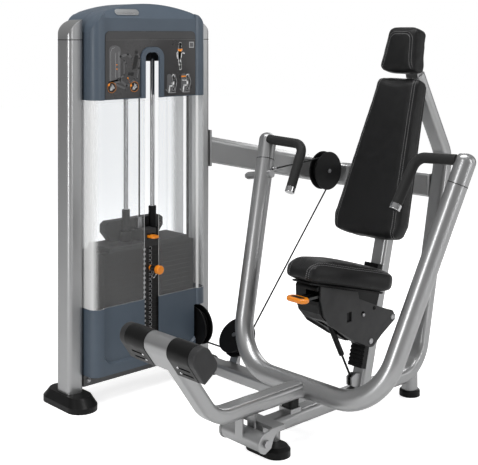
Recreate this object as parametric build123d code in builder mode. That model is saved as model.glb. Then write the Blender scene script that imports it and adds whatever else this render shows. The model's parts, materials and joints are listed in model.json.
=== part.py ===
"""Selectorised chest press machine: weight tower, pressing yoke with foot pedal, height-adjustable seat.

Frame: origin at the centre of the front foot's sole, +Z up, +Y towards the back of the machine,
+X towards the user's left hand. The weight tower stands on the -X side. Millimetres.
"""
from build123d import *
from math import asin, atan2, cos, hypot, radians, sin, sqrt
import os

os.makedirs("parts", exist_ok=True)

# ---------------------------------------------------------------- driving dimensions
FIT = 0.3                # small air gap between neighbouring pieces
RUN = 0.05               # radial clearance of a turning or sliding fit

TUBE_W, TUBE_T, TUBE_R = 70, 48, 17      # flat frame tube: across, through, corner radius
WALL = 3.0               # wall of the frame tubes

# weight tower
TOWER_Y = 67             # middle of the tower across its front
COL_W, COL_D = 68, 86    # column: across the tower's front, through the tower
COL_X = -803             # middle of the columns
COL_OFF = 312            # column centre line from the middle of the tower
COL_Z0, COL_Z1 = 45, 1358
CAP_TOP = 1434
SHROUD_HALF = 276        # half width of the panels between the columns
SHROUD_BULGE = 103       # panel front from the middle of the columns
SKIN = 3.0               # wall of the moulded panels
CROWN_Z, CROWN_R = 1498, 697
PANEL_Z = (108, 358, 1133)               # foot of lower panel, window sill, window head
BROW_Z = 1440            # ledge under the badge
RECESS = 9               # depth of the front field behind its border
SLOT_W, SLOT_TOP = 70, 1309

# weight stack
ROD_X, ROD_R, ROD_OFF = -789, 9, 65
PLATE_W, PLATE_D, PITCH = 440, 140, 18.4
PLATES, PICKED = 22, 5   # plates in all, plates above and at the selector pin
STACK_TOP = 557
STACK_FOOT = STACK_TOP - PLATES * PITCH
PIN_Z = STACK_TOP - (PICKED - 0.5) * PITCH

# cable path
CABLE_R = 3.2
PULLEY_R, GROOVE_R, PULLEY_T = 62, 55, 22   # rim, cable centre line, thickness
AXLE_R = 6
GUARD_R, GUARD_T, GUARD_OFF = 80, 6, 14     # guard disc: radius, thickness, inner face from mid-plane
BEAM_PULLEY = (-475, 808, 806)
BASE_PULLEY = (-530, 352, 185)
TOP_PULLEY_Z = 1385

# pressing yoke
PIVOT = (0, -103, 80)
YOKE_R, GRIP_R = 34.5, 18.5
YOKE_LOW = (0, 168, 173)
YOKE_LEAN = 20.0         # yoke leans back, degrees
YOKE_RISE = 760          # length of the arms along the lean, up to the cap seam
YOKE_HALF_LOW, YOKE_HALF_TOP = 323, 449

# seat and back rest
POST_FOOT = (469, 106)
POST_LEAN = 15.0         # seat post leans back, degrees
SEAT_TILT = 12.5
PAD_LEAN = 20.5          # back pad leans back, degrees


# ---------------------------------------------------------------- helpers
def save(part, name):
    part.label = name
    export_step(part, f"parts/{name}.step")


def bent_tube(points, radii, wide=TUBE_W, tall=TUBE_T, corner=TUBE_R, plane=Plane.YZ):
    """Rounded rectangular bar along a filleted line, its broad side square to the plane."""
    with BuildPart() as bar:
        with BuildLine(plane) as path:
            FilletPolyline(*points, radius=radii)
        start = Plane(origin=path.line @ 0, x_dir=plane.z_dir, z_dir=path.line % 0)
        with BuildSketch(start):
            RectangleRounded(wide, tall, corner)
        sweep()
    return bar.part


def round_bar(points, radii, radius, plane):
    """Round bar along a filleted line drawn on a plane."""
    with BuildPart() as bar:
        with BuildLine(plane) as path:
            FilletPolyline(*points, radius=radii)
        with BuildSketch(Plane(origin=path.line @ 0, z_dir=path.line % 0)):
            Circle(radius)
        sweep()
    return bar.part


def rod_between(start, end, radius):
    """Straight round bar between two points."""
    a, b = Vector(*start), Vector(*end)
    with BuildPart() as bar:
        with BuildSketch(Plane(origin=a, z_dir=b - a)):
            Circle(radius)
        extrude(amount=(b - a).length)
    return bar.part


# ---------------------------------------------------------------- weight tower: feet and columns
def column_plane(side, z):
    return Plane(origin=(COL_X, TOWER_Y + side * COL_OFF, z))


with BuildPart() as tower_feet:
    for side in (-1, 1):
        with BuildSketch(column_plane(side, 0)):
            SlotOverall(266, 118)
        with BuildSketch(column_plane(side, 20)):
            SlotOverall(266, 118)
        loft()
        with BuildSketch(column_plane(side, 20)):
            SlotOverall(265, 117)
        with BuildSketch(column_plane(side, 50)):
            SlotOverall(208, 90)
        loft()
        with BuildSketch(column_plane(side, COL_Z0)):
            RectangleRounded(COL_D + 2 * FIT, COL_W + 2 * FIT, 18)
        extrude(amount=20, mode=Mode.SUBTRACT)
save(tower_feet.part, "tower_feet")

with BuildPart() as tower_columns:
    for side in (-1, 1):
        with BuildSketch(column_plane(side, COL_Z0)):
            RectangleRounded(COL_D, COL_W, 18)
            RectangleRounded(COL_D - 2 * WALL, COL_W - 2 * WALL, 15, mode=Mode.SUBTRACT)
        extrude(amount=COL_Z1 - COL_Z0)
save(tower_columns.part, "tower_columns")

with BuildPart() as column_caps:
    for side in (-1, 1):
        with BuildSketch(column_plane(side, COL_Z1 + FIT)):
            RectangleRounded(COL_D, COL_W, 18)
        extrude(amount=CAP_TOP - COL_Z1 - FIT)
    for side in (-1, 1):
        inner = TOWER_Y + side * (COL_OFF - COL_W / 2)
        outer = TOWER_Y + side * (COL_OFF + COL_W / 2)
        with BuildSketch(Plane.YZ.offset(COL_X - COL_D / 2)) as corner_waste:
            with BuildLine():
                RadiusArc((outer, COL_Z1 + 10), (inner, CAP_TOP), -side * 78)
                Polyline((inner, CAP_TOP), (inner, CAP_TOP + 20), (outer + side * 20, CAP_TOP + 20),
                         (outer + side * 20, COL_Z1 + 10), (outer, COL_Z1 + 10))
            make_face()
        extrude(amount=COL_D, mode=Mode.SUBTRACT)
    top_ends = column_caps.edges().filter_by_position(Axis.Z, CAP_TOP - 60, CAP_TOP - 1)
    arcs = top_ends.filter_by(GeomType.CIRCLE).filter_by(lambda e: e.length > 60)
    if arcs:
        fillet(arcs, 16)
save(column_caps.part, "column_caps")

# ---------------------------------------------------------------- cable path and pulley places
# the cable falls from the beam pulley to the base pulley in the plane x = BEAM_PULLEY[0]
drop_y = BEAM_PULLEY[1] - BASE_PULLEY[1]
drop_z = BEAM_PULLEY[2] - BASE_PULLEY[2]
fall_angle = atan2(drop_z, drop_y) - asin(GROOVE_R / hypot(drop_y, drop_z))
FALL = Vector(0, -cos(fall_angle), -sin(fall_angle))
LEAVE = Vector(0, sin(fall_angle), -cos(fall_angle))

beam_centre, base_centre = Vector(*BEAM_PULLEY), Vector(*BASE_PULLEY)
base_exit = base_centre + FALL * GROOVE_R
RISE_Y = base_exit.Y
tower_centre = Vector(ROD_X + GROOVE_R, RISE_Y, base_exit.Z + GROOVE_R)
top_rear_centre = Vector(ROD_X, RISE_Y - GROOVE_R, TOP_PULLEY_Z)
top_front_centre = Vector(ROD_X, TOWER_Y + GROOVE_R, TOP_PULLEY_Z)

beam_wheel = Plane(origin=beam_centre, x_dir=(0, 1, 0), z_dir=(1, 0, 0))
base_wheel = Plane(origin=base_centre, x_dir=(1, 0, 0), z_dir=-LEAVE)
tower_wheel = Plane(origin=tower_centre, x_dir=(1, 0, 0), z_dir=(0, 1, 0))
top_rear_wheel = Plane(origin=top_rear_centre, x_dir=(0, 1, 0), z_dir=(1, 0, 0))
top_front_wheel = Plane(origin=top_front_centre, x_dir=(0, 1, 0), z_dir=(1, 0, 0))

# ---------------------------------------------------------------- weight tower: cross-members
SPAN = 2 * (COL_OFF - COL_W / 2) - 2 * FIT
TOP_BAR_X, TOP_BAR_D, TOP_BAR_Z0, TOP_BAR_H = -826, 38, 1272, 60
ROD_TOP = TOP_BAR_Z0 + 44    # guide rods end under the top pulleys
BASE_BAR_X, BASE_BAR_D, BASE_BAR_Z0, BASE_BAR_H = -803, 76, 64, 42
TOP_PULLEY_YS = (top_rear_centre.Y, top_front_centre.Y)

with BuildPart() as base_crossmember:
    with Locations((BASE_BAR_X, TOWER_Y, BASE_BAR_Z0 + BASE_BAR_H / 2)):
        Box(BASE_BAR_D, SPAN, BASE_BAR_H)
        Box(BASE_BAR_D - 2 * WALL, SPAN, BASE_BAR_H - 2 * WALL, mode=Mode.SUBTRACT)
    front = Plane(origin=(BASE_BAR_X + BASE_BAR_D / 2, TOWER_Y, BASE_BAR_Z0 + BASE_BAR_H / 2),
                  x_dir=(0, 1, 0), z_dir=(1, 0, 0))
    with BuildSketch(front):
        with Locations((-150, 8), (-110, 8), (-20, 8), (20, 8), (110, 8)):
            Circle(3.5)
    extrude(amount=-2 * WALL, mode=Mode.SUBTRACT)
save(base_crossmember.part, "base_crossmember")

with BuildPart() as top_crossmember:
    with Locations((TOP_BAR_X, TOWER_Y, TOP_BAR_Z0 + TOP_BAR_H / 2)):
        Box(TOP_BAR_D, SPAN, TOP_BAR_H)
        Box(TOP_BAR_D - 2 * WALL, SPAN, TOP_BAR_H - 2 * WALL, mode=Mode.SUBTRACT)
    bar_front = TOP_BAR_X + TOP_BAR_D / 2
    for side in (-1, 1):
        with Locations(((bar_front + ROD_X + 16) / 2, TOWER_Y + side * ROD_OFF, TOP_BAR_Z0 + 30)):
            Box(ROD_X + 16 - bar_front, 40, 40)
        with Locations((ROD_X, TOWER_Y + side * ROD_OFF, TOP_BAR_Z0 + 30)):
            Cylinder(ROD_R + RUN, 60, mode=Mode.SUBTRACT)
    for y in TOP_PULLEY_YS:
        with BuildSketch(Plane.YZ.offset(bar_front - TOP_BAR_D)):
            with BuildLine():
                Polyline((y - 22, TOP_BAR_Z0 + TOP_BAR_H), (y - 16, TOP_PULLEY_Z), (y + 16, TOP_PULLEY_Z),
                         (y + 22, TOP_BAR_Z0 + TOP_BAR_H), (y - 22, TOP_BAR_Z0 + TOP_BAR_H))
            make_face()
            with Locations((y, TOP_PULLEY_Z)):
                Circle(16)
                Circle(AXLE_R + RUN, mode=Mode.SUBTRACT)
        extrude(amount=8)
save(top_crossmember.part, "top_crossmember")


# ---------------------------------------------------------------- weight tower: moulded panels
def shroud_form(inset, front_face=True):
    """Solid shape of one panel half, every face moved inward by inset, foot left long."""
    x_front = COL_X + SHROUD_BULGE - inset
    half = SHROUD_HALF - inset
    with BuildPart() as form:
        with BuildSketch(Plane.XY.offset(PANEL_Z[0] - 10)) as plan:
            with Locations(((COL_X + 1 + x_front) / 2, TOWER_Y)):
                Rectangle(x_front - COL_X - 1, 2 * half)
            fillet(plan.vertices().group_by(Axis.X)[-1], 34 - inset)
        extrude(amount=CROWN_Z - PANEL_Z[0] + 40)
        shoulder_y = half - 70
        shoulder_z = CROWN_Z - CROWN_R + sqrt((CROWN_R - inset) ** 2 - shoulder_y ** 2)
        with BuildSketch(Plane.YZ.offset(COL_X - 20)):
            with Locations((TOWER_Y, CROWN_Z - CROWN_R)):
                Circle(CROWN_R - inset)
            with Locations((TOWER_Y, PANEL_Z[0] + 400)):
                Rectangle(1000, 1300)
            for side in (-1, 1):
                inner, outer = TOWER_Y + side * shoulder_y, TOWER_Y + side * (half + 1.5)
                far = TOWER_Y + side * (half + 90)
                with BuildLine():
                    ThreePointArc((inner, shoulder_z), (TOWER_Y + side * (half - 23), shoulder_z - 32),
                                  (outer, shoulder_z - 94))
                    Polyline((outer, shoulder_z - 94), (far, shoulder_z - 94), (far, CROWN_Z + 30),
                             (inner, CROWN_Z + 30), (inner, shoulder_z))
                make_face(mode=Mode.SUBTRACT)
        extrude(amount=SHROUD_BULGE + 60, mode=Mode.INTERSECT)
        recess_half = SHROUD_HALF - 46 + inset
        recess_foot = PANEL_Z[0] + 38 - inset
        with BuildSketch(Plane.YZ.offset(x_front)) as recess:
            with Locations((TOWER_Y, (recess_foot + CROWN_Z + 40) / 2)):
                Rectangle(2 * recess_half, CROWN_Z + 40 - recess_foot)
            fillet(recess.vertices().group_by(Axis.Y)[0], 45)
        extrude(amount=-RECESS, taper=35, mode=Mode.SUBTRACT)
        if front_face:
            field = x_front - RECESS
            with BuildSketch(Plane.XZ.offset(-(TOWER_Y + recess_half - 8))):
                with BuildLine():
                    Polyline((field + 30, BROW_Z), (field, BROW_Z), (field - 36, BROW_Z + 62),
                             (field + 30, BROW_Z + 62), (field + 30, BROW_Z))
                make_face()
            extrude(amount=2 * (recess_half - 8), mode=Mode.SUBTRACT)
    return form.part


def slot_cutter(grow, x0, x1):
    """Upright slot through the tower's front, round at its head."""
    with BuildPart() as cutter:
        with BuildSketch(Plane.YZ.offset(x0)) as opening:
            with Locations((TOWER_Y, (SLOT_TOP + grow + 150 - grow) / 2)):
                Rectangle(SLOT_W + 2 * grow, SLOT_TOP + grow - 150 + grow)
            fillet(opening.vertices(), 22 + grow)
        extrude(amount=x1 - x0)
    return cutter.part


front_outer, front_inner = shroud_form(0), shroud_form(SKIN)
FRONT_X = COL_X + SHROUD_BULGE
slot_hole = slot_cutter(0, COL_X + 40, FRONT_X + 20)
slot_rim = slot_cutter(20, FRONT_X - RECESS - SKIN, FRONT_X - 1)
PULLEY_NOTCH_Z = 292


def panel_slice(z0, z1, clear=12):
    """Slab of space between two heights; between the columns it starts clear of their middle."""
    with BuildPart() as keep:
        with Locations((COL_X + 50, TOWER_Y, (z0 + z1) / 2)):
            Box(400, 800, z1 - z0)
        with Locations((COL_X - 60, TOWER_Y, (z0 + COL_Z1 + 22) / 2)):
            Box(2 * (60 + clear), 800, COL_Z1 + 22 - z0, mode=Mode.SUBTRACT)
    return keep.part


with BuildPart() as front_shroud_upper:
    add(front_outer)
    add(front_inner, mode=Mode.SUBTRACT)
    add(slot_rim)
    add(slot_hole, mode=Mode.SUBTRACT)
    add(panel_slice(PANEL_Z[2] + FIT, CROWN_Z + 10), mode=Mode.INTERSECT)
save(front_shroud_upper.part, "front_shroud_upper")

with BuildPart() as front_window:
    add(front_outer)
    add(front_inner, mode=Mode.SUBTRACT)
    add(slot_hole, mode=Mode.SUBTRACT)
    add(panel_slice(PANEL_Z[1] + FIT, PANEL_Z[2] - FIT), mode=Mode.INTERSECT)
save(front_window.part, "front_window")

with BuildPart() as front_shroud_lower:
    add(front_outer)
    add(front_inner, mode=Mode.SUBTRACT)
    add(slot_hole, mode=Mode.SUBTRACT)
    add(panel_slice(PANEL_Z[0], PANEL_Z[1] - FIT), mode=Mode.INTERSECT)
    notch_y0 = 282
    with Locations((COL_X + 60, (notch_y0 + 400) / 2, (PULLEY_NOTCH_Z + 50) / 2)):
        Box(200, 400 - notch_y0, PULLEY_NOTCH_Z - 50, mode=Mode.SUBTRACT)
save(front_shroud_lower.part, "front_shroud_lower")

# the back panels are the front ones turned half way round the tower's middle
half_turn = Location((COL_X, TOWER_Y, 0), (0, 0, 180)) * Location((-COL_X, -TOWER_Y, 0))
rear_outer = half_turn * shroud_form(0, False)
rear_inner = half_turn * shroud_form(SKIN, False)


def rear_slice(z0, z1):
    return half_turn * panel_slice(z0, z1, COL_D / 2 + 3)


REAR_HEAD = 1272         # the back window reaches up to the top crossmember
REAR_CUTS = (("rear_shroud_lower", PANEL_Z[0], PANEL_Z[1] - FIT),
             ("rear_window", PANEL_Z[1] + FIT, REAR_HEAD - FIT),
             ("rear_shroud_upper", REAR_HEAD + FIT, CROWN_Z + 10))
for panel_name, low, high in REAR_CUTS:
    with BuildPart() as rear_panel:
        add(rear_outer)
        add(rear_inner, mode=Mode.SUBTRACT)
        add(rear_slice(low, high), mode=Mode.INTERSECT)
    save(rear_panel.part, panel_name)

with BuildPart() as placard:
    with BuildSketch(Plane.YZ.offset(FRONT_X - RECESS + FIT)) as sheet:
        with Locations((TOWER_Y, (PANEL_Z[2] + 4 + 1391) / 2)):
            Rectangle(440, 1391 - PANEL_Z[2] - 4)
        fillet(sheet.vertices().group_by(Axis.Y)[-1], 20)
    extrude(amount=1.5)
    add(slot_cutter(22, COL_X, FRONT_X + 20), mode=Mode.SUBTRACT)
save(placard.part, "placard")

BADGE_TILT = atan2(36, 62)
BADGE_Y = -44            # the badge sits off to the front column's side
badge_foot = Vector(FRONT_X - RECESS, 0, BROW_Z) + Vector(-sin(BADGE_TILT), 0, cos(BADGE_TILT)) * 26
badge_plane = Plane(origin=(badge_foot.X, BADGE_Y, badge_foot.Z), x_dir=(0, 1, 0),
                    z_dir=(cos(BADGE_TILT), 0, sin(BADGE_TILT))).offset(FIT)
with BuildPart() as badge:
    with BuildSketch(badge_plane):
        SlotOverall(112, 26)
    extrude(amount=2)
save(badge.part, "badge")

# ---------------------------------------------------------------- weight stack
ROD_YS = (TOWER_Y - ROD_OFF, TOWER_Y + ROD_OFF)
BASE_TOP = BASE_BAR_Z0 + BASE_BAR_H
with BuildPart() as guide_rods:
    with Locations(*[(ROD_X, y, (BASE_TOP + ROD_TOP) / 2) for y in ROD_YS]):
        Cylinder(ROD_R, ROD_TOP - BASE_TOP)
save(guide_rods.part, "guide_rods")

with BuildPart() as stack_bumpers:
    with Locations(*[(ROD_X, y, (BASE_TOP + STACK_FOOT - FIT) / 2) for y in ROD_YS]):
        Cylinder(27, STACK_FOOT - FIT - BASE_TOP)
        Cylinder(ROD_R + FIT, 200, mode=Mode.SUBTRACT)
save(stack_bumpers.part, "stack_bumpers")


def plates(first, count):
    """Plates numbered downward from the top of the stack, each bored for rods, stem and pin."""
    with BuildPart() as pile:
        for k in range(first, first + count):
            middle = STACK_TOP - (k + 0.5) * PITCH
            with Locations((ROD_X, TOWER_Y, middle)):
                Box(PLATE_D, PLATE_W, PITCH - 0.4)
                Cylinder(15, PITCH, mode=Mode.SUBTRACT)
            with Locations(*[(ROD_X, y, middle) for y in ROD_YS]):
                Cylinder(ROD_R + 2, PITCH, mode=Mode.SUBTRACT)
            with Locations(Location((ROD_X + PLATE_D / 4, TOWER_Y, middle), (0, 90, 0))):
                Cylinder(5.2, PLATE_D / 2 + 2, mode=Mode.SUBTRACT)
    return pile.part


save(plates(0, PICKED), "plates_selected")
save(plates(PICKED, PLATES - PICKED), "plates_resting")

HEAD_T, HEAD_W = 18, 384
with BuildPart() as head_plate:
    with Locations((ROD_X, TOWER_Y, STACK_TOP + HEAD_T / 2)):
        Box(PLATE_D, HEAD_W, HEAD_T)
        Cylinder(11 + FIT, HEAD_T, mode=Mode.SUBTRACT)
    with Locations(*[(ROD_X, y, STACK_TOP + HEAD_T / 2) for y in ROD_YS]):
        Cylinder(ROD_R + 2, HEAD_T, mode=Mode.SUBTRACT)
save(head_plate.part, "head_plate")

with BuildPart() as head_bushings:
    for y in ROD_YS:
        with Locations((ROD_X, y, STACK_TOP + HEAD_T + FIT)):
            Cylinder(23, 39, align=(Align.CENTER, Align.CENTER, Align.MIN))
            Cylinder(15.5, 122, align=(Align.CENTER, Align.CENTER, Align.MIN))
            Cylinder(ROD_R + RUN, 130, align=(Align.CENTER, Align.CENTER, Align.MIN), mode=Mode.SUBTRACT)
save(head_bushings.part, "head_bushings")

STEM_TOP = 660
with BuildPart() as selector_stem:
    with Locations((ROD_X, TOWER_Y, STACK_FOOT + 12)):
        Cylinder(11, STEM_TOP - STACK_FOOT - 12, align=(Align.CENTER, Align.CENTER, Align.MIN))
    with Locations((ROD_X, TOWER_Y, STACK_TOP + HEAD_T + FIT)):
        Cylinder(19, 20, align=(Align.CENTER, Align.CENTER, Align.MIN))
    for k in range(PLATES):
        hole_z = STACK_TOP - (k + 0.5) * PITCH
        if hole_z > STACK_FOOT + 20:
            with Locations(Location((ROD_X, TOWER_Y, hole_z), (0, 90, 0))):
                Cylinder(5.2, 40, mode=Mode.SUBTRACT)
save(selector_stem.part, "selector_stem")

# the add-on weight sits behind the rods; a bridge between them ends in the lever's housing
HOUSING_X0, HOUSING_X1 = ROD_X + 27, ROD_X + PLATE_D / 2 + 4
BRIDGE_HALF = 29
SEAT_Z = STACK_TOP + HEAD_T + FIT
LEVER_Z = STACK_TOP + HEAD_T + 22
with BuildPart() as add_on_weight:
    with BuildSketch(Plane.YZ.offset(ROD_X - PLATE_D / 2)):
        Polygon((-45, SEAT_Z), (179, SEAT_Z), (207, 610), (207, 640), (190, 652), (-56, 652), (-73, 640),
                (-73, 610), align=None)
    extrude(amount=42)
    bridge_x0 = ROD_X - PLATE_D / 2 + 40
    with Locations(((bridge_x0 + HOUSING_X1) / 2, TOWER_Y, SEAT_Z + 20)):
        Box(HOUSING_X1 - bridge_x0, 2 * BRIDGE_HALF, 40)
    with Locations(((HOUSING_X0 + HOUSING_X1) / 2, TOWER_Y, SEAT_Z + 24)):
        Box(HOUSING_X1 - HOUSING_X0, 2 * BRIDGE_HALF, 48)
    fillet(add_on_weight.edges().filter_by(Axis.Z).group_by(Axis.X)[-1], 6)
    with Locations((ROD_X, TOWER_Y, SEAT_Z + 30)):
        Cylinder(21, 80, mode=Mode.SUBTRACT)
    with Locations((HOUSING_X1 - 8, TOWER_Y, LEVER_Z)):
        Box(20, 40, 18, mode=Mode.SUBTRACT)
save(add_on_weight.part, "add_on_weight")

with BuildPart() as add_on_lever:
    with BuildSketch(Plane.XY.offset(LEVER_Z - 4)) as paddle:
        with Locations((HOUSING_X1 + 10, TOWER_Y)):
            RectangleRounded(54, 34, 12)
        with Locations((HOUSING_X1 + 16, TOWER_Y)):
            RectangleRounded(28, 18, 8, mode=Mode.SUBTRACT)
    extrude(amount=8)
    fillet(add_on_lever.edges().group_by(Axis.Z)[-1], 2)
save(add_on_lever.part, "add_on_lever")

PIN_TIP = ROD_X - 14
with BuildPart() as selector_pin:
    with BuildSketch(Plane.YZ.offset(PIN_TIP)):
        with Locations((TOWER_Y, PIN_Z)):
            Circle(4.6)
    extrude(amount=FRONT_X - RECESS - PIN_TIP)
    for x0, x1, radius in ((-716, -706, 10), (-706, -672, 12), (-672, -652, 17)):
        with BuildSketch(Plane.YZ.offset(x0)):
            with Locations((TOWER_Y, PIN_Z)):
                Circle(radius)
        extrude(amount=x1 - x0)
    fillet(selector_pin.edges().group_by(Axis.X)[-1], 5)
save(selector_pin.part, "selector_pin")


# ---------------------------------------------------------------- pulleys, guards and cable
def pulley(plane):
    """Grooved wheel about the plane's normal."""
    profile = ((AXLE_R + RUN, -PULLEY_T / 2), (PULLEY_R, -PULLEY_T / 2), (PULLEY_R, -5),
               (GROOVE_R - CABLE_R - FIT, -3), (GROOVE_R - CABLE_R - FIT, 3), (PULLEY_R, 5),
               (PULLEY_R, PULLEY_T / 2), (AXLE_R + RUN, PULLEY_T / 2))
    with BuildPart() as wheel:
        with BuildSketch(Plane(origin=plane.origin, x_dir=plane.x_dir, z_dir=-plane.y_dir)):
            Polygon(*profile, align=None)
        revolve(axis=Axis(plane.origin, plane.z_dir))
    return wheel.part


def disc(plane, start, thick, radius, bore=0.0, edge=0.0):
    """Round plate about the plane's normal."""
    with BuildPart() as plate:
        with BuildSketch(plane.offset(start)):
            Circle(radius)
            if bore:
                Circle(bore, mode=Mode.SUBTRACT)
        extrude(amount=thick)
        if edge:
            rims = plate.edges().filter_by(GeomType.CIRCLE).sort_by(SortBy.RADIUS)[-2:]
            fillet(rims, edge)
    return plate.part


WHEELS = (("beam_pulley", beam_wheel), ("base_pulley", base_wheel), ("tower_pulley", tower_wheel),
          ("top_pulley_rear", top_rear_wheel), ("top_pulley_front", top_front_wheel))
for wheel_name, wheel_plane in WHEELS:
    save(pulley(wheel_plane), wheel_name)

guard_bore = AXLE_R + FIT
with BuildPart() as pulley_guards:
    for wheel_plane, guard_r in ((beam_wheel, GUARD_R), (base_wheel, 74), (tower_wheel, GUARD_R)):
        add(disc(wheel_plane, GUARD_OFF, GUARD_T, guard_r, guard_bore, 2.5))
        add(disc(wheel_plane, -GUARD_OFF - GUARD_T, GUARD_T, guard_r, guard_bore, 2.5))
save(pulley_guards.part, "pulley_guards")


def axle(plane, back, front):
    """Shoulder bolt: shank with a round head at the front end."""
    with BuildPart() as bolt:
        with BuildSketch(plane.offset(back)):
            Circle(AXLE_R)
        extrude(amount=front - back)
        with BuildSketch(plane.offset(front)):
            RegularPolygon(9, 6)
        extrude(amount=5)
    return bolt.part


head_gap = GUARD_OFF + GUARD_T + FIT
COL_INNER = TOWER_Y + COL_OFF - COL_W / 2        # inner face of the back column
with BuildPart() as pulley_axles:
    add(axle(beam_wheel, -head_gap - 8, head_gap))
    add(axle(base_wheel, -head_gap - 8, head_gap))
    add(axle(Plane(origin=tower_centre, x_dir=(1, 0, 0), z_dir=(0, -1, 0)), RISE_Y - COL_INNER + FIT, head_gap))
    add(axle(top_rear_wheel, -50, PULLEY_T / 2 + FIT))
    add(axle(top_front_wheel, -50, PULLEY_T / 2 + FIT))
save(pulley_axles.part, "pulley_axles")


def wrap(centre, from_dir, to_dir):
    """Arc of the cable around a pulley, from one radial direction to another."""
    middle = (from_dir + to_dir).normalized()
    return ThreePointArc(centre + from_dir * GROOVE_R, centre + middle * GROOVE_R,
                         centre + to_dir * GROOVE_R)


ANCHOR = Vector(-399, 419, 855)
UP, OUT_X, BACK_Y = Vector(0, 0, 1), Vector(1, 0, 0), Vector(0, 1, 0)
reach_y, reach_z = BEAM_PULLEY[1] - ANCHOR.Y, BEAM_PULLEY[2] - ANCHOR.Z
arm_angle = atan2(reach_z, reach_y) + asin(GROOVE_R / hypot(reach_y, reach_z))
ARM_WAY = Vector(0, cos(arm_angle), sin(arm_angle))
ARM_SIDE = Vector(0, -sin(arm_angle), cos(arm_angle))
LEAD_IN = 34             # straight cable kept in line with the beam pulley's groove
lead_start = beam_centre + ARM_SIDE * GROOVE_R - ARM_WAY * LEAD_IN
with BuildPart() as cable_main_run:
    with BuildLine() as main_path:
        Line(lead_start, beam_centre + ARM_SIDE * GROOVE_R)
        wrap(beam_centre, ARM_SIDE, LEAVE)
        Line(beam_centre + LEAVE * GROOVE_R, base_centre + OUT_X * GROOVE_R)
        wrap(base_centre, OUT_X, FALL)
        Line(base_exit, tower_centre - UP * GROOVE_R)
        wrap(tower_centre, -UP, -OUT_X)
        Line(tower_centre - OUT_X * GROOVE_R, top_rear_centre + BACK_Y * GROOVE_R)
        wrap(top_rear_centre, BACK_Y, UP)
        Line(top_rear_centre + UP * GROOVE_R, top_front_centre + UP * GROOVE_R)
        wrap(top_front_centre, UP, -BACK_Y)
    with BuildSketch(Plane(origin=main_path.line @ 0, z_dir=main_path.line % 0)):
        Circle(CABLE_R)
    sweep()
save(cable_main_run.part, "cable_main_run")

arm_run_end = lead_start - (lead_start - ANCHOR).normalized() * 1.5
save(rod_between(ANCHOR, arm_run_end, CABLE_R), "cable_arm_run")
save(rod_between((ROD_X, TOWER_Y, TOP_PULLEY_Z - 1), (ROD_X, TOWER_Y, STEM_TOP + FIT), CABLE_R),
     "cable_stack_run")

# ---------------------------------------------------------------- base frame
RAIL_Z = 86              # centre line of the rail above the floor
RAIL_FRONT = -58
BEAM_Y, BEAM_H, BEAM_D = 294, 46, 74     # base beam: centre line, height, depth
UPRIGHT_TOP = (797, 1225)
LUG_R, LUG_X0, LUG_X1 = 32, 86, 94
STRUT_BASE = (424, 134)
STOP_Y = 105

rail_line = ((RAIL_FRONT, RAIL_Z), (799, RAIL_Z), (980, 899), UPRIGHT_TOP)
post_dir = Vector(0, sin(radians(POST_LEAN)), cos(radians(POST_LEAN)))
post_foot = Vector(0, POST_FOOT[0], POST_FOOT[1] - 4)
POST_LEN = 840
post_plane = Plane(origin=post_foot, x_dir=(1, 0, 0), z_dir=post_dir)

with BuildPart() as main_frame:
    add(bent_tube(rail_line, (135, 105)))
    with BuildSketch(post_plane):
        RectangleRounded(62, 50, 14)
    extrude(amount=POST_LEN)
    # brackets at the rail's nose carry the pivot bolt
    with Locations((0, -40, RAIL_Z + TUBE_T / 2 + 4)):
        Box(2 * LUG_X1, 48, 12)
    for side in (-1, 1):
        with BuildSketch(Plane.YZ.offset(side * LUG_X0)):
            with BuildLine():
                Polyline((PIVOT[1], PIVOT[2] + LUG_R), (PIVOT[1], PIVOT[2] - LUG_R))
                RadiusArc((PIVOT[1], PIVOT[2] - LUG_R), (PIVOT[1], PIVOT[2] + LUG_R), LUG_R)
            make_face()
            with BuildLine():
                Polyline((PIVOT[1] - 1, PIVOT[2] + LUG_R), (-70, 120), (-16, 120), (-16, 108), (-58, 100),
                         (-71, 80), (-78, 60), (PIVOT[1] - 1, PIVOT[2] - LUG_R),
                         (PIVOT[1] - 1, PIVOT[2] + LUG_R))
            make_face()
        extrude(amount=side * (LUG_X1 - LUG_X0))
    with Locations(Location(PIVOT, (0, 90, 0))):
        Cylinder(8 + RUN, 400, mode=Mode.SUBTRACT)
    # legs down to the feet
    with BuildSketch(Plane.XY.offset(34)):
        with Locations((0, 22)):
            Circle(25)
    extrude(until=Until.NEXT)
    with BuildSketch(Plane.XY.offset(24)):
        with Locations((0, 761)):
            Circle(30)
    extrude(until=Until.NEXT)
    # strut bracket on the post's front with its fixed pin
    for x in (-13, 7):
        with BuildSketch(Plane.YZ.offset(x)):
            Polygon((458, 108), (458, 152), (432, 160), (408, 150), (408, 120), (432, 108), align=None)
        extrude(amount=6)
    with Locations(Location((0, STRUT_BASE[0], STRUT_BASE[1]), (0, 90, 0))):
        Cylinder(3.5, 26)
    # seat of the rubber stop on the rail
    with Locations((0, STOP_Y, RAIL_Z + TUBE_T / 2 + 4)):
        Box(56, 50, 16)
    # web and strap that carry the two back rests
    with BuildSketch(Plane.YZ.offset(-6)):
        Polygon((737, 1120), (829, 1122), (777, 1212), (771, 1212), align=None)
    extrude(amount=12)
    with BuildSketch(Plane.YZ.offset(-28)):
        Polygon((776, 1211), (768, 1255), (799, 1372), (807, 1370), (778, 1258), (797, 1226), align=None)
    extrude(amount=56)
save(main_frame.part, "main_frame")

with BuildPart() as front_foot:
    with BuildSketch():
        SlotOverall(172, 92)
    with BuildSketch(Plane.XY.offset(22)):
        SlotOverall(172, 92)
    loft()
    with BuildSketch(Plane.XY.offset(22)):
        SlotOverall(171, 91)
    with BuildSketch(Plane.XY.offset(34)):
        SlotOverall(150, 74)
    loft()
save(front_foot.part, "front_foot")

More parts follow.
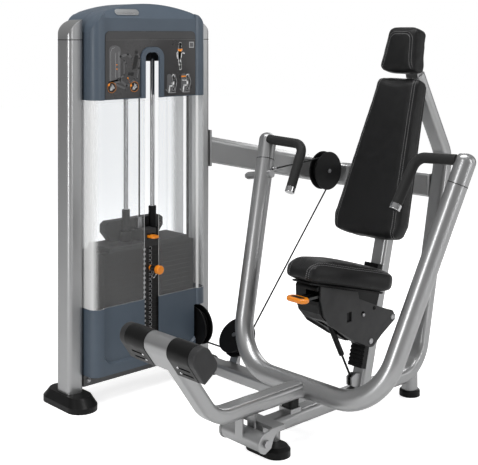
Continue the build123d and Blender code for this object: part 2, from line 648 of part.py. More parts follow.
with BuildPart() as rear_foot:
    with Locations((0, 761, 0)):
        Cylinder(39, 24, align=(Align.CENTER, Align.CENTER, Align.MIN))
    fillet(rear_foot.edges().group_by(Axis.Z)[-1], 7)
save(rear_foot.part, "rear_foot")

STUB_X = -550
base_bar_front = BASE_BAR_X + BASE_BAR_D / 2
lug_near = base_centre + LEAVE * (head_gap + FIT)
lug_far = base_centre + LEAVE * (head_gap + 8)
with BuildPart() as base_beam:
    with BuildSketch(Plane.YZ.offset(base_bar_front + FIT)):
        with Locations((BEAM_Y, 50 + BEAM_H / 2)):
            RectangleRounded(BEAM_D - 6, BEAM_H - 6, 10)
    extrude(amount=STUB_X - base_bar_front - FIT)
    with BuildSketch(Plane.YZ.offset(STUB_X)):
        with Locations((BEAM_Y, 50 + BEAM_H / 2)):
            RectangleRounded(BEAM_D, BEAM_H, 12)
    extrude(amount=-TUBE_W / 2 - FIT - STUB_X)
    with BuildSketch(Plane.YZ.offset(BASE_PULLEY[0] - 20)) as pulley_lug:
        corners = [(BEAM_Y + BEAM_D / 2 - 2, 58), (BEAM_Y + BEAM_D / 2 - 2, 92)]
        for spot in (lug_near + FALL * 20, lug_near - FALL * 20, lug_far - FALL * 20, lug_far + FALL * 20):
            corners.append((spot.Y, spot.Z))
        Polygon(*corners, (BEAM_Y + BEAM_D / 2 + 18, 96), (BEAM_Y + BEAM_D / 2 + 18, 58), align=None)
    extrude(amount=40)
    with BuildSketch(base_wheel.offset(-head_gap - 30)):
        Circle(AXLE_R + RUN)
    extrude(amount=60, mode=Mode.SUBTRACT)
save(base_beam.part, "base_beam")

# upper beam: leaves the tower's back column, drops and turns to run across to the upright
UB_TALL, UB_DEEP = 94, 50
UB_Z_TOWER, UB_Z_END = 902, 777
UB_TOWER_Y = TOWER_Y + COL_OFF + COL_W / 2 + FIT
UB_END_X, UB_BEND_X, UB_Y = -TUBE_W / 2 - FIT, -508, 955
FLANGE_T = 10
with BuildPart() as upper_beam:
    with BuildSketch(Plane.XY.offset(600)) as beam_plan:
        with BuildLine():
            FilletPolyline((COL_X - 60, UB_TOWER_Y - 110), (UB_BEND_X, UB_Y), (UB_END_X, UB_Y), radius=130)
        trace(line_width=UB_DEEP)
    extrude(amount=500)
    with BuildSketch(Plane.XZ.offset(-1100)) as beam_side:
        with BuildLine():
            FilletPolyline((COL_X - 80, UB_Z_TOWER + 34), (UB_BEND_X, UB_Z_END), (UB_END_X + 60, UB_Z_END),
                           radius=160)
        trace(line_width=UB_TALL)
    extrude(amount=900, mode=Mode.INTERSECT)
    with Locations((COL_X, UB_TOWER_Y - 150, UB_Z_TOWER)):
        Box(400, 300, 400, mode=Mode.SUBTRACT)
    long_edges = upper_beam.edges().filter_by(lambda e: e.length > 90)
    fillet(long_edges, 15)
    with Locations((COL_X + 4, UB_TOWER_Y + FLANGE_T / 2, UB_Z_TOWER + 4)):
        Box(COL_D - 10, FLANGE_T, 150)
    # lugs that hold the beam pulley's bolt
    with BuildSketch(Plane.YZ.offset(BEAM_PULLEY[0] - head_gap - 8)):
        Polygon((BEAM_PULLEY[1] - 14, BEAM_PULLEY[2] + 16), (UB_Y - 18, UB_Z_END + 42),
                (UB_Y - 18, UB_Z_END - 30), (BEAM_PULLEY[1] - 14, BEAM_PULLEY[2] - 16), align=None)
    extrude(amount=8)
    with Locations(Location(BEAM_PULLEY, (0, 90, 0))):
        Cylinder(AXLE_R + RUN, 90, mode=Mode.SUBTRACT)
save(upper_beam.part, "upper_beam")

with BuildPart() as stop_bumper:
    with Locations((0, STOP_Y, RAIL_Z + TUBE_T / 2 + 12)):
        Box(48, 42, 26.5, align=(Align.CENTER, Align.CENTER, Align.MIN))
    fillet(stop_bumper.edges().filter_by(Axis.Z), 8)
save(stop_bumper.part, "stop_bumper")

BOLT_R = 8
with BuildPart() as pivot_bolt:
    with BuildSketch(Plane.YZ.offset(-LUG_X1 - FIT)):
        with Locations(PIVOT[1:]):
            Circle(BOLT_R)
    extrude(amount=2 * (LUG_X1 + FIT))
    for x0, thick, size in ((-LUG_X1 - 14 - FIT, 14, 13), (LUG_X1 + FIT, 9, 13)):
        with BuildSketch(Plane.YZ.offset(x0)):
            with Locations(PIVOT[1:]):
                RegularPolygon(size, 6)
        extrude(amount=thick)
save(pivot_bolt.part, "pivot_bolt")

# ---------------------------------------------------------------- pressing yoke, handles and pedal
lean = radians(YOKE_LEAN)
YOKE_PLANE = Plane(origin=YOKE_LOW, x_dir=(1, 0, 0), z_dir=(0, -cos(lean), sin(lean)))
YOKE_LINE = ((-YOKE_HALF_TOP, YOKE_RISE), (-YOKE_HALF_LOW, 0), (YOKE_HALF_LOW, 0), (YOKE_HALF_TOP, YOKE_RISE))
YOKE_BEND = 200

PEDAL = Vector(0, -439, 441)             # centre of the pedal's round top
DOWN = Vector(0, 0.577, -0.817)          # along the lever, away from the pedal
FRONT = Vector(0, -0.817, -0.577)        # square to the lever, towards the front
PEDAL_R, PEDAL_LONG = 37, 66
SLEEVE_R, SLEEVE_HALF = 30, 85
LEVER_START = PEDAL + DOWN * (PEDAL_LONG + FIT)
LEVER_BEND = (-250, 173)
lever_line = ((LEVER_START.Y, LEVER_START.Z), LEVER_BEND, (YOKE_LOW[1], YOKE_LOW[2]))
BOSS_UP = 700            # cable bolt: distance up the arm
arm_dir = Vector(YOKE_HALF_TOP - YOKE_HALF_LOW, YOKE_RISE, 0).normalized()
boss_half = YOKE_HALF_LOW + (YOKE_HALF_TOP - YOKE_HALF_LOW) * BOSS_UP / YOKE_RISE
boss_spot = YOKE_PLANE.from_local_coords((-boss_half, BOSS_UP, 0))
boss_way = YOKE_PLANE.from_local_coords((-arm_dir.Y, -arm_dir.X, 0)) - YOKE_PLANE.origin
with BuildPart() as press_yoke:
    add(round_bar(YOKE_LINE, YOKE_BEND, YOKE_R, YOKE_PLANE))
    add(bent_tube(lever_line, 118))
    with Locations(Location(PIVOT, (0, 90, 0))):
        Cylinder(SLEEVE_R, 2 * SLEEVE_HALF)
    for y in (PIVOT[1] - 30, PIVOT[1] + 24):
        with Locations((0, y + 3, (PIVOT[2] + 152) / 2)):
            Box(TUBE_W / 2, 6, 152 - PIVOT[2])
    with BuildSketch(Plane(origin=boss_spot + boss_way * 80, z_dir=-boss_way)):
        Circle(15)
    extrude(amount=80 + YOKE_R + 12)
    with BuildSketch(Plane(origin=boss_spot + boss_way * 80, z_dir=boss_way)):
        RegularPolygon(12, 6)
    extrude(amount=11)
    add(round_bar(YOKE_LINE, YOKE_BEND, YOKE_R - WALL, YOKE_PLANE), mode=Mode.SUBTRACT)
    with Locations(Location(PIVOT, (0, 90, 0))):
        Cylinder(BOLT_R + RUN, 400, mode=Mode.SUBTRACT)
save(press_yoke.part, "press_yoke")

CAP_LEN = 107
GRIP_START, GRIP_ELBOW, GRIP_END = (460, 440, 967), (266, 452, 958), (248, 365, 806)


def bent_rod(points, bend, radius, bore=0.0):
    """Round bar or sleeve along three points in space."""
    first, elbow, last = (Vector(*p) for p in points)
    plane = Plane(origin=elbow, x_dir=first - elbow, z_dir=(first - elbow).cross(last - elbow))
    flat = [plane.to_local_coords(p) for p in (first, elbow, last)]
    with BuildPart() as bar:
        with BuildLine(plane) as path:
            FilletPolyline(*[(p.X, p.Y) for p in flat], radius=bend)
        with BuildSketch(Plane(origin=path.line @ 0, z_dir=path.line % 0)):
            Circle(radius)
            if bore:
                Circle(bore, mode=Mode.SUBTRACT)
        sweep()
    return bar.part


def sided(point, side):
    return (side * point[0], point[1], point[2])


GRIP_GAP, CORE_R, END_LEN = 20, 12, 21
grip_first = Vector(*GRIP_START) + (Vector(*GRIP_ELBOW) - Vector(*GRIP_START)).normalized() * GRIP_GAP
grip_way = (Vector(*GRIP_END) - Vector(*GRIP_ELBOW)).normalized()
with BuildPart() as handle_caps:
    for side in (-1, 1):
        seat_point = YOKE_PLANE.from_local_coords((side * YOKE_HALF_TOP, YOKE_RISE, 0))
        along = YOKE_PLANE.from_local_coords((side * arm_dir.X, arm_dir.Y, 0)) - YOKE_PLANE.origin
        with BuildSketch(Plane(origin=seat_point + along * FIT, z_dir=along)):
            Circle(YOKE_R)
        extrude(amount=CAP_LEN)
    tops = handle_caps.faces().sort_by(Axis.Z)[-2:]
    fillet(tops.edges(), 28)
    for side in (-1, 1):
        points = [sided(p, side) for p in (GRIP_START, GRIP_ELBOW, GRIP_END)]
        add(bent_rod(points, 42, CORE_R))
save(handle_caps.part, "handle_caps")

with BuildPart() as grips:
    for side in (-1, 1):
        first = (grip_first.X, grip_first.Y, grip_first.Z)
        add(bent_rod([sided(p, side) for p in (first, GRIP_ELBOW, GRIP_END)], 42, GRIP_R, CORE_R + FIT))
    for side in (-1, 1):
        seat_point = YOKE_PLANE.from_local_coords((side * YOKE_HALF_TOP, YOKE_RISE, 0))
        along = YOKE_PLANE.from_local_coords((side * arm_dir.X, arm_dir.Y, 0)) - YOKE_PLANE.origin
        with BuildSketch(Plane(origin=seat_point, z_dir=along)):
            Circle(YOKE_R + FIT)
        extrude(amount=CAP_LEN + 10, mode=Mode.SUBTRACT)
save(grips.part, "grips")

with BuildPart() as grip_end_caps:
    for side in (-1, 1):
        tip = Vector(*sided(GRIP_END, side))
        way = Vector(side * grip_way.X, grip_way.Y, grip_way.Z)
        with BuildSketch(Plane(origin=tip + way * FIT, z_dir=way)):
            Circle(GRIP_R + 0.5)
        extrude(amount=END_LEN)
    fillet(grip_end_caps.edges().filter_by(GeomType.CIRCLE).group_by(Axis.Z)[0], 3)
save(grip_end_caps.part, "grip_end_caps")


def pedal_shape(x0, x1, shrink=0.0, bore=0.0, corner=12):
    """Length of the pedal's section: round on top, flat sides, square foot."""
    reach = PEDAL_LONG - shrink
    plane = Plane(origin=(x0, PEDAL.Y, PEDAL.Z), x_dir=DOWN, z_dir=(1, 0, 0))
    with BuildPart() as piece:
        with BuildSketch(plane) as section:
            Circle(PEDAL_R - shrink)
            with Locations((reach / 2, 0)):
                Rectangle(reach, 2 * (PEDAL_R - shrink))
            fillet(section.vertices().sort_by(Axis((x0, PEDAL.Y, PEDAL.Z), DOWN))[-2:], corner)
            if bore:
                Circle(bore, mode=Mode.SUBTRACT)
        extrude(amount=x1 - x0)
    return piece.part


SADDLE_HALF, PAD_END, PEDAL_END, BAR_R = 55, 152, 182, 12
with BuildPart() as pedal_saddle:
    add(pedal_shape(-SADDLE_HALF, SADDLE_HALF, 1.5))
    with Locations(Location((0, PEDAL.Y, PEDAL.Z), (0, 90, 0))):
        Cylinder(BAR_R, 2 * (PEDAL_END - 12))
save(pedal_saddle.part, "pedal_saddle")

with BuildPart() as pedal_pads:
    for x0, x1 in ((-PAD_END, -SADDLE_HALF - FIT), (SADDLE_HALF + FIT, PAD_END)):
        add(pedal_shape(x0, x1, 0, BAR_R + FIT))
    for side in (-1, 1):
        for down in (24, 48):
            spot = PEDAL + DOWN * down + FRONT * PEDAL_R + Vector(side * 111, 0, 0)
            with BuildSketch(Plane(origin=spot, x_dir=(1, 0, 0), z_dir=FRONT)):
                SlotOverall(58, 8)
            extrude(amount=-5, mode=Mode.SUBTRACT)
save(pedal_pads.part, "pedal_pads")

with BuildPart() as pedal_end_caps:
    for side in (-1, 1):
        x0, x1 = sorted((side * (PAD_END + FIT), side * PEDAL_END))
        add(pedal_shape(x0, x1, 1, corner=26))
    ends = pedal_end_caps.faces().sort_by(Axis.X)
    fillet(ends[0].edges() + ends[-1].edges(), 8)
    with Locations(Location((0, PEDAL.Y, PEDAL.Z), (0, 90, 0))):
        Cylinder(BAR_R + FIT, 2 * (PEDAL_END - 11), mode=Mode.SUBTRACT)
save(pedal_end_caps.part, "pedal_end_caps")

# ---------------------------------------------------------------- seat on its inclined post
CARRIAGE_HALF, PLATE_T = 50, 6
STRUT_TOP = (265, 432)
HANDLE_HINGE = (205, 486)
RACK_T = 26              # thickness of the notched rack on the post's front
carriage_outline = ((183, 524), (186, 455), (198, 424), (224, 396), (313, 342), (406, 277), (468, 266),
                    (491, 352), (505, 402), (520, 446), (400, 474))
side_outline = ((199, 519), (391, 468), (398, 442), (470, 412), (580, 364), (600, 350), (599, 331),
                (522, 290), (476, 258), (458, 258), (358, 306), (246, 375), (212, 415), (196, 472))
with BuildPart() as seat_carriage:
    with BuildSketch(Plane.YZ.offset(-CARRIAGE_HALF)) as cover:
        Polygon(*carriage_outline, align=None)
    extrude(amount=2 * CARRIAGE_HALF)
    fillet(seat_carriage.edges().filter_by(Axis.X).group_by(Axis.Y)[0], 12)
    with BuildSketch(Plane.YZ.offset(-16)):
        Polygon((222, 446), (300, 468), (480, 240), (300, 240), align=None)
    extrude(amount=32, mode=Mode.SUBTRACT)
    with BuildSketch(Plane.YZ.offset(-CARRIAGE_HALF)):
        with Locations(STRUT_TOP):
            Circle(5 + RUN)
    extrude(amount=2 * CARRIAGE_HALF, mode=Mode.SUBTRACT)
    with Locations((25, HANDLE_HINGE[0], HANDLE_HINGE[1])):
        Box(54, 50, 36, mode=Mode.SUBTRACT)
    with BuildSketch(Plane(origin=post_foot, x_dir=(1, 0, 0), z_dir=(0, -post_dir.Z, post_dir.Y))):
        with Locations((0, 400)):
            Rectangle(68, 900)
    extrude(amount=25 + RACK_T + 2, mode=Mode.SUBTRACT)
save(seat_carriage.part, "seat_carriage")

ROLLER_SPOT, ROLLER_R = (585, 343), 23.5
with BuildPart() as seat_side_plates:
    for x0 in (-CARRIAGE_HALF - FIT - PLATE_T, CARRIAGE_HALF + FIT):
        with BuildSketch(Plane.YZ.offset(x0)) as cheek:
            Polygon(*side_outline, align=None)
            with Locations((344, 388)):
                Rectangle(26, 34, mode=Mode.SUBTRACT)
            with Locations((418, 386), (468, 274)):
                Circle(9, mode=Mode.SUBTRACT)
            with Locations(ROLLER_SPOT):
                Circle(7, mode=Mode.SUBTRACT)
        extrude(amount=PLATE_T)
save(seat_side_plates.part, "seat_side_plates")

with BuildPart() as seat_roller:
    for x0, long, radius in ((-CARRIAGE_HALF + 4, 2 * CARRIAGE_HALF - 8, ROLLER_R),
                             (-CARRIAGE_HALF - FIT - PLATE_T, 2 * (CARRIAGE_HALF + FIT + PLATE_T), 7 - RUN)):
        with BuildSketch(Plane.YZ.offset(x0)):
            with Locations(ROLLER_SPOT):
                Circle(radius)
        extrude(amount=long)
save(seat_roller.part, "seat_roller")

SEAT_PLANE = Plane(origin=(0, 300, 505), x_dir=(1, 0, 0),
                   z_dir=(0, sin(radians(SEAT_TILT)), cos(radians(SEAT_TILT))))
SEAT_THICK, PAN_T = 72, 6
seat_outline = ((-58, -170), (58, -170), (150, 60), (172, 118), (148, 166), (-148, 166), (-172, 118), (-150, 60))
with BuildPart() as seat_pad:
    with BuildSketch(SEAT_PLANE) as cushion:
        Polygon(*seat_outline, align=None)
        fillet(cushion.vertices(), 26)
    extrude(amount=SEAT_THICK)
    fillet(seat_pad.faces().sort_by(Axis.Z)[-1].edges(), 18)
save(seat_pad.part, "seat_pad")

with BuildPart() as seat_pan:
    with BuildSketch(SEAT_PLANE.offset(-FIT)) as pan:
        Polygon(*seat_outline, align=None)
        fillet(pan.vertices(), 26)
        offset(amount=-25, mode=Mode.REPLACE)
    extrude(amount=-PAN_T + FIT)
save(seat_pan.part, "seat_pan")

with BuildPart() as seat_lever:
    with BuildSketch(Plane.XY.offset(HANDLE_HINGE[1] - 8)):
        with Locations((25, 116)):
            RectangleRounded(88, 44, 21.5)
    extrude(amount=16)
    fillet(seat_lever.edges().group_by(Axis.Z)[-1] + seat_lever.edges().group_by(Axis.Z)[0], 6.5)
    with BuildSketch(Plane.XY.offset(HANDLE_HINGE[1] + 8)):
        with Locations((25, 116)):
            RectangleRounded(58, 21, 10)
    extrude(amount=-4, mode=Mode.SUBTRACT)
    with BuildSketch(Plane.XY.offset(HANDLE_HINGE[1] - 6)):
        with Locations((8, 178), (42, 178)):
            Rectangle(14, 88)
    extrude(amount=9)
save(seat_lever.part, "seat_lever")

with BuildPart() as rack_strip:
    with BuildSketch(Plane(origin=post_foot + Vector(0, -25 * post_dir.Z - FIT, 25 * post_dir.Y),
                           x_dir=(1, 0, 0), z_dir=(0, -post_dir.Z, post_dir.Y))):
        with Locations((0, 254)):
            Rectangle(64, 372)
    extrude(amount=RACK_T)
    rack_front = Plane(origin=post_foot + Vector(0, -(25 + RACK_T) * post_dir.Z - FIT, (25 + RACK_T) * post_dir.Y),
                       x_dir=(1, 0, 0), z_dir=(0, -post_dir.Z, post_dir.Y))
    with BuildSketch(rack_front):
        for k in range(25):
            with Locations((0, 84 + 14 * k)):
                Rectangle(64, 6)
    extrude(amount=-4, mode=Mode.SUBTRACT)
save(rack_strip.part, "rack_strip")

strut_top, strut_base = Vector(0, *STRUT_TOP), Vector(0, *STRUT_BASE)
strut_way = (strut_base - strut_top).normalized()
BODY_R, BODY_LEN, ROD_LEN_IN = 10, 218, 110
strut_plane = Plane(origin=strut_top, x_dir=(1, 0, 0), z_dir=strut_way)
with BuildPart() as gas_cylinder:
    with BuildSketch(strut_plane):
        Circle(BODY_R)
    extrude(amount=BODY_LEN)
    with BuildSketch(Plane.YZ.offset(-10)):
        with Locations(STRUT_TOP):
            Circle(12)
    extrude(amount=20)
    with BuildSketch(strut_plane.offset(40)):
        Circle(4 + RUN)
    extrude(amount=BODY_LEN, mode=Mode.SUBTRACT)
    with BuildSketch(Plane.YZ.offset(-20)):
        with Locations(STRUT_TOP):
            Circle(5 + RUN)
    extrude(amount=40, mode=Mode.SUBTRACT)
save(gas_cylinder.part, "gas_cylinder")

strut_len = (strut_base - strut_top).length
with BuildPart() as gas_rod:
    with BuildSketch(strut_plane.offset(strut_len - 240)):
        Circle(4)
    extrude(amount=232)
    with BuildSketch(Plane.YZ.offset(-6)):
        with Locations(STRUT_BASE):
            Circle(13)
    extrude(amount=12)
    with BuildSketch(Plane.YZ.offset(-8)):
        with Locations(STRUT_BASE):
            Circle(9.5)
    extrude(amount=16, mode=Mode.SUBTRACT)
save(gas_rod.part, "gas_rod")

with BuildPart() as strut_pin:
    with BuildSketch(Plane.YZ.offset(1 - CARRIAGE_HALF)):
        with Locations(STRUT_TOP):
            Circle(5)
    extrude(amount=2 * (CARRIAGE_HALF - 1))
save(strut_pin.part, "strut_pin")

# ---------------------------------------------------------------- back rest and head rest
pad_lean = radians(PAD_LEAN)
PAD_T, BOARD_T = 68, 10
BACK_PLANE = Plane(origin=(0, 486, 684), x_dir=(1, 0, 0), z_dir=(0, -cos(pad_lean), sin(pad_lean)))
head_lean = radians(15)
HEAD_PLANE = Plane(origin=(0, 678, 1262), x_dir=(1, 0, 0), z_dir=(0, -cos(head_lean), sin(head_lean)))
back_outline = ((-96, 574), (96, 574), (154, 30), (140, -22), (60, -34), (-60, -34), (-140, -22), (-154, 30))
head_outline = ((-62, 148), (62, 148), (80, -14), (-80, -14))
PADS = (("back_pad", BACK_PLANE, back_outline, PAD_T), ("head_pad", HEAD_PLANE, head_outline, 72))
for pad_name, pad_plane, outline, thick in PADS:
    with BuildPart() as pad:
        with BuildSketch(pad_plane.offset(-thick)) as pad_face:
            Polygon(*outline, align=None)
            fillet(pad_face.vertices(), 20)
        extrude(amount=thick)
        fillet(pad.faces().sort_by(Axis.Y)[0].edges(), 14)
    save(pad.part, pad_name)

with BuildPart() as pad_boards:
    for _, pad_plane, outline, thick in PADS:
        with BuildSketch(pad_plane.offset(-thick - FIT)) as board_face:
            Polygon(*outline, align=None)
            fillet(board_face.vertices(), 20)
            offset(amount=-14, mode=Mode.REPLACE)
        extrude(amount=-BOARD_T)
save(pad_boards.part, "pad_boards")
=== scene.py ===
"""Looks of the chest press machine: materials, padded covers, placard drawing, light and camera."""
import json
import math
import bmesh
import bpy
import numpy as np
from mathutils import Matrix, Vector
from mathutils.bvhtree import BVHTree
from mathutils.kdtree import KDTree


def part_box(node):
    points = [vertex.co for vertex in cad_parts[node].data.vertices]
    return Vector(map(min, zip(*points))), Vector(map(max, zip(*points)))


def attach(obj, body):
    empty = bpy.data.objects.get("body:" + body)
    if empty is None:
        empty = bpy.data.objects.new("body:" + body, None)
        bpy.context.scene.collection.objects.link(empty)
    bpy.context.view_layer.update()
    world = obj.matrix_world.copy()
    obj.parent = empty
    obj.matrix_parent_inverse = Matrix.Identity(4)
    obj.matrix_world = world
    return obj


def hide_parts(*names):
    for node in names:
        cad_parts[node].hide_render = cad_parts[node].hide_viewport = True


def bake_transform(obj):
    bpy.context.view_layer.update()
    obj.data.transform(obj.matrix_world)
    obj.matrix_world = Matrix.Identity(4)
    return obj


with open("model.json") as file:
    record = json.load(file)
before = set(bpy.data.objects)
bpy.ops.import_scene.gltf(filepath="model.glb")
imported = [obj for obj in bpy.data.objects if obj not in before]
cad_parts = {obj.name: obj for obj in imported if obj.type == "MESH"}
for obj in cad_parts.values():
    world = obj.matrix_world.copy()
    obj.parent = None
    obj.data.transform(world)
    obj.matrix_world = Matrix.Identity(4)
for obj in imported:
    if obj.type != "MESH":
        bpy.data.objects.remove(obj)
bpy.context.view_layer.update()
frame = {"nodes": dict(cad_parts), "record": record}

nodes = frame["nodes"]
MM = 0.001


# ---------------------------------------------------------------- node helpers
def add_node(tree, kind, settings=None, inputs=None):
    node = tree.nodes.new(kind)
    for key, value in (settings or {}).items():
        setattr(node, key, value)
    for key, value in (inputs or {}).items():
        if isinstance(value, bpy.types.NodeSocket):
            tree.links.new(value, node.inputs[key])
        else:
            node.inputs[key].default_value = value
    return node


def math_node(tree, operation, a, b=0.0, clamp=False):
    node = add_node(tree, "ShaderNodeMath", {"operation": operation, "use_clamp": clamp}, {0: a, 1: b})
    return node.outputs[0]


def ramp(tree, value, low, high, to_low=0.0, to_high=1.0):
    node = add_node(tree, "ShaderNodeMapRange", {"clamp": True},
                    {"Value": value, "From Min": low, "From Max": high, "To Min": to_low, "To Max": to_high})
    return node.outputs[0]


def mix_color(tree, factor, a, b, blend="MIX"):
    node = add_node(tree, "ShaderNodeMix", {"data_type": "RGBA", "blend_type": blend})
    for socket, value in ((node.inputs[0], factor), (node.inputs[6], a), (node.inputs[7], b)):
        if isinstance(value, bpy.types.NodeSocket):
            tree.links.new(value, socket)
        else:
            socket.default_value = value
    return node.outputs[2]


def rgba(color):
    return (color[0], color[1], color[2], 1.0)


def noise_value(tree, coords, scale, detail=3.0, rough=0.55):
    node = add_node(tree, "ShaderNodeTexNoise", None,
                    {"Vector": coords, "Scale": scale, "Detail": detail, "Roughness": rough})
    return node.outputs[0]


def surface(name, color, rough, metal=0.0, coat=0.0, sheen=0.0, specular=0.5, vary=0.08, vary_scale=9.0,
            rough_vary=0.08, grain=900.0, depth=0.05, edge=0.0008, wear=0.12, brushed=None,
            grain_kind="noise", second=None):
    """Painted, moulded or sewn surface: colour drift, roughness drift, fine grain, rounded and worn edges."""
    material = bpy.data.materials.new(name)
    material.use_nodes = True
    tree = material.node_tree
    tree.nodes.clear()
    coords = add_node(tree, "ShaderNodeTexCoord").outputs["Object"]
    drift = noise_value(tree, coords, vary_scale, 4.0)
    shade = ramp(tree, drift, 0.25, 0.75, 1.0 - vary, 1.0 + vary)
    base = rgba(color)
    if second:
        base = second(tree, coords, color)
    tint = add_node(tree, "ShaderNodeCombineColor", None, {0: shade, 1: shade, 2: shade}).outputs[0]
    colored = mix_color(tree, 1.0, base, tint, "MULTIPLY")
    grain_coords = coords
    if brushed:
        grain_coords = add_node(tree, "ShaderNodeMapping", None,
                                {"Vector": coords, "Scale": brushed}).outputs[0]
    if grain_kind == "leather":
        cells = add_node(tree, "ShaderNodeTexVoronoi", {"feature": "DISTANCE_TO_EDGE"},
                         {"Vector": coords, "Scale": grain, "Randomness": 0.9}).outputs["Distance"]
        fine = noise_value(tree, coords, grain * 2.6, 2.0)
        pores = math_node(tree, "ADD", ramp(tree, cells, 0.0, 0.16), math_node(tree, "MULTIPLY", fine, 0.5))
        folds = noise_value(tree, coords, 34.0, 3.0)
        height = math_node(tree, "ADD", pores, math_node(tree, "MULTIPLY", folds, 1.6))
    else:
        height = noise_value(tree, grain_coords, grain, 3.0)
    bump_inputs = {"Height": height, "Strength": 0.5, "Distance": depth * MM}
    if edge:
        rounded = add_node(tree, "ShaderNodeBevel", {"samples": 4}, {"Radius": edge}).outputs[0]
        bump_inputs["Normal"] = rounded
        if wear:
            plain = add_node(tree, "ShaderNodeNewGeometry").outputs["Normal"]
            turn = add_node(tree, "ShaderNodeVectorMath", {"operation": "DOT_PRODUCT"},
                            {0: rounded, 1: plain}).outputs["Value"]
            patchy = noise_value(tree, coords, 60.0, 4.0)
            edges = math_node(tree, "MULTIPLY", ramp(tree, turn, 0.99, 0.85), ramp(tree, patchy, 0.4, 0.62))
            worn = rgba([min(1.0, c + wear) for c in color])
            colored = mix_color(tree, math_node(tree, "MULTIPLY", edges, 0.55), colored, worn)
    bump = add_node(tree, "ShaderNodeBump", None, bump_inputs).outputs[0]
    smear = noise_value(tree, grain_coords, vary_scale * 3.1, 5.0)
    roughness = ramp(tree, smear, 0.3, 0.7, max(0.02, rough - rough_vary), rough + rough_vary)
    shader = add_node(tree, "ShaderNodeBsdfPrincipled", None, {
        "Base Color": colored, "Roughness": roughness, "Metallic": metal, "Coat Weight": coat,
        "Coat Roughness": 0.12, "Sheen Weight": sheen, "Sheen Roughness": 0.4, "Specular IOR Level": specular,
        "Normal": bump})
    out = add_node(tree, "ShaderNodeOutputMaterial")
    tree.links.new(shader.outputs[0], out.inputs[0])
    return material


def knob_bands(tree, coords, color):
    """Orange knob and collar with a black neck and a steel shank behind them."""
    x = add_node(tree, "ShaderNodeSeparateXYZ", None, {0: coords}).outputs[0]
    low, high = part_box("selector_pin")
    from_face = math_node(tree, "SUBTRACT", high.x, x)
    past_knob = ramp(tree, from_face, 0.0200, 0.0201)
    before_collar = ramp(tree, from_face, 0.0542, 0.0541)
    neck = math_node(tree, "MULTIPLY", past_knob, before_collar)
    shank = ramp(tree, from_face, 0.0641, 0.0642)
    dark = mix_color(tree, neck, rgba(color), (0.012, 0.012, 0.013, 1))
    return mix_color(tree, shank, dark, (0.4, 0.4, 0.41, 1))


INK = (0.004, 0.004, 0.0043)
ORANGE = (0.90, 0.27, 0.012)


def lever_tongues(tree, coords, color):
    """Orange lever with black tongues where it runs into the seat carriage."""
    y = add_node(tree, "ShaderNodeSeparateXYZ", None, {0: coords}).outputs[1]
    slab_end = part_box("seat_lever")[0].y + 0.0435
    on_tongues = ramp(tree, y, slab_end, slab_end + 0.0005)
    return mix_color(tree, on_tongues, rgba(color), rgba(INK))


PAINT = dict(metal=0.85, coat=0.10, vary=0.03, vary_scale=5.0, rough_vary=0.005, grain=2600.0, depth=0.003,
             edge=0.0012, wear=0.05)
BLACK = dict(specular=0.22, wear=0.03, vary=0.1)
GLOSSY = dict(coat=0.3, grain=900.0, depth=0.02, vary=0.05)
MATS = {
    "frame_paint": surface("frame_paint", (0.42, 0.422, 0.425), 0.33, **PAINT),
    "crossmember_paint": surface("crossmember_paint", (0.10, 0.10, 0.102), 0.42, **PAINT),
    "dark_paint": surface("dark_paint", (0.030, 0.030, 0.031), 0.5, specular=0.35, grain=1900.0, depth=0.05,
                          wear=0.05),
    "slate_plastic": surface("slate_plastic", (0.074, 0.098, 0.128), 0.42, vary=0.05, grain=1500.0,
                             depth=0.06, specular=0.45, wear=0.06),
    "black_plastic": surface("black_plastic", INK, 0.40, grain=1300.0, depth=0.07, **BLACK),
    "black_rubber": surface("black_rubber", (0.005, 0.005, 0.005), 0.36, grain=1100.0, depth=0.06, sheen=0.02,
                            **BLACK),
    "grip_rubber": surface("grip_rubber", (0.020, 0.020, 0.020), 0.6, grain=1600.0, depth=0.1, sheen=0.05,
                           **BLACK),
    "orange_plastic": surface("orange_plastic", ORANGE, 0.3, wear=0.08, **GLOSSY),
    "polished_steel": surface("polished_steel", (0.62, 0.62, 0.63), 0.14, metal=1.0, grain=700.0, depth=0.01,
                              rough_vary=0.01, brushed=(1, 1, 0.08), wear=0.0),
    "brushed_steel": surface("brushed_steel", (0.42, 0.42, 0.43), 0.3, metal=1.0, grain=1500.0, depth=0.04,
                             brushed=(1, 1, 0.05), rough_vary=0.02, wear=0.0),
    "badge_silver": surface("badge_silver", (0.60, 0.61, 0.62), 0.3, metal=1.0, grain=1800.0, depth=0.03,
                            brushed=(1, 0.05, 1), wear=0.0),
    "plate_iron": surface("plate_iron", (0.012, 0.0115, 0.011), 0.45, grain=700.0, depth=0.12, specular=0.3,
                          wear=0.06),
    "wheel_plastic": surface("wheel_plastic", (0.006, 0.006, 0.0064), 0.40, grain=1200.0, depth=0.05,
                             **BLACK),
    "cable_jacket": surface("cable_jacket", (0.004, 0.004, 0.0045), 0.5, specular=0.15, grain=1500.0,
                            depth=0.05, edge=0, wear=0),
    "placard_print": surface("placard_print", (0.030, 0.029, 0.030), 0.32, grain=1500.0, depth=0.01, coat=0.3,
                             vary=0.25, vary_scale=3.0, wear=0.0),
    "upholstery": surface("upholstery", (0.0060, 0.0060, 0.0063), 0.40, grain=620.0, depth=0.16, sheen=0.02,
                          specular=0.30, vary=0.15, vary_scale=14.0, grain_kind="leather", edge=0, wear=0.0),
    "thread": surface("thread", (0.17, 0.17, 0.172), 0.7, grain=2600.0, depth=0.12, edge=0, wear=0.0,
                      sheen=0.4),
    "knob": surface("knob", ORANGE, 0.3, wear=0.0, second=knob_bands, **GLOSSY),
    "lever": surface("lever", ORANGE, 0.3, wear=0.0, second=lever_tongues, **GLOSSY),
}
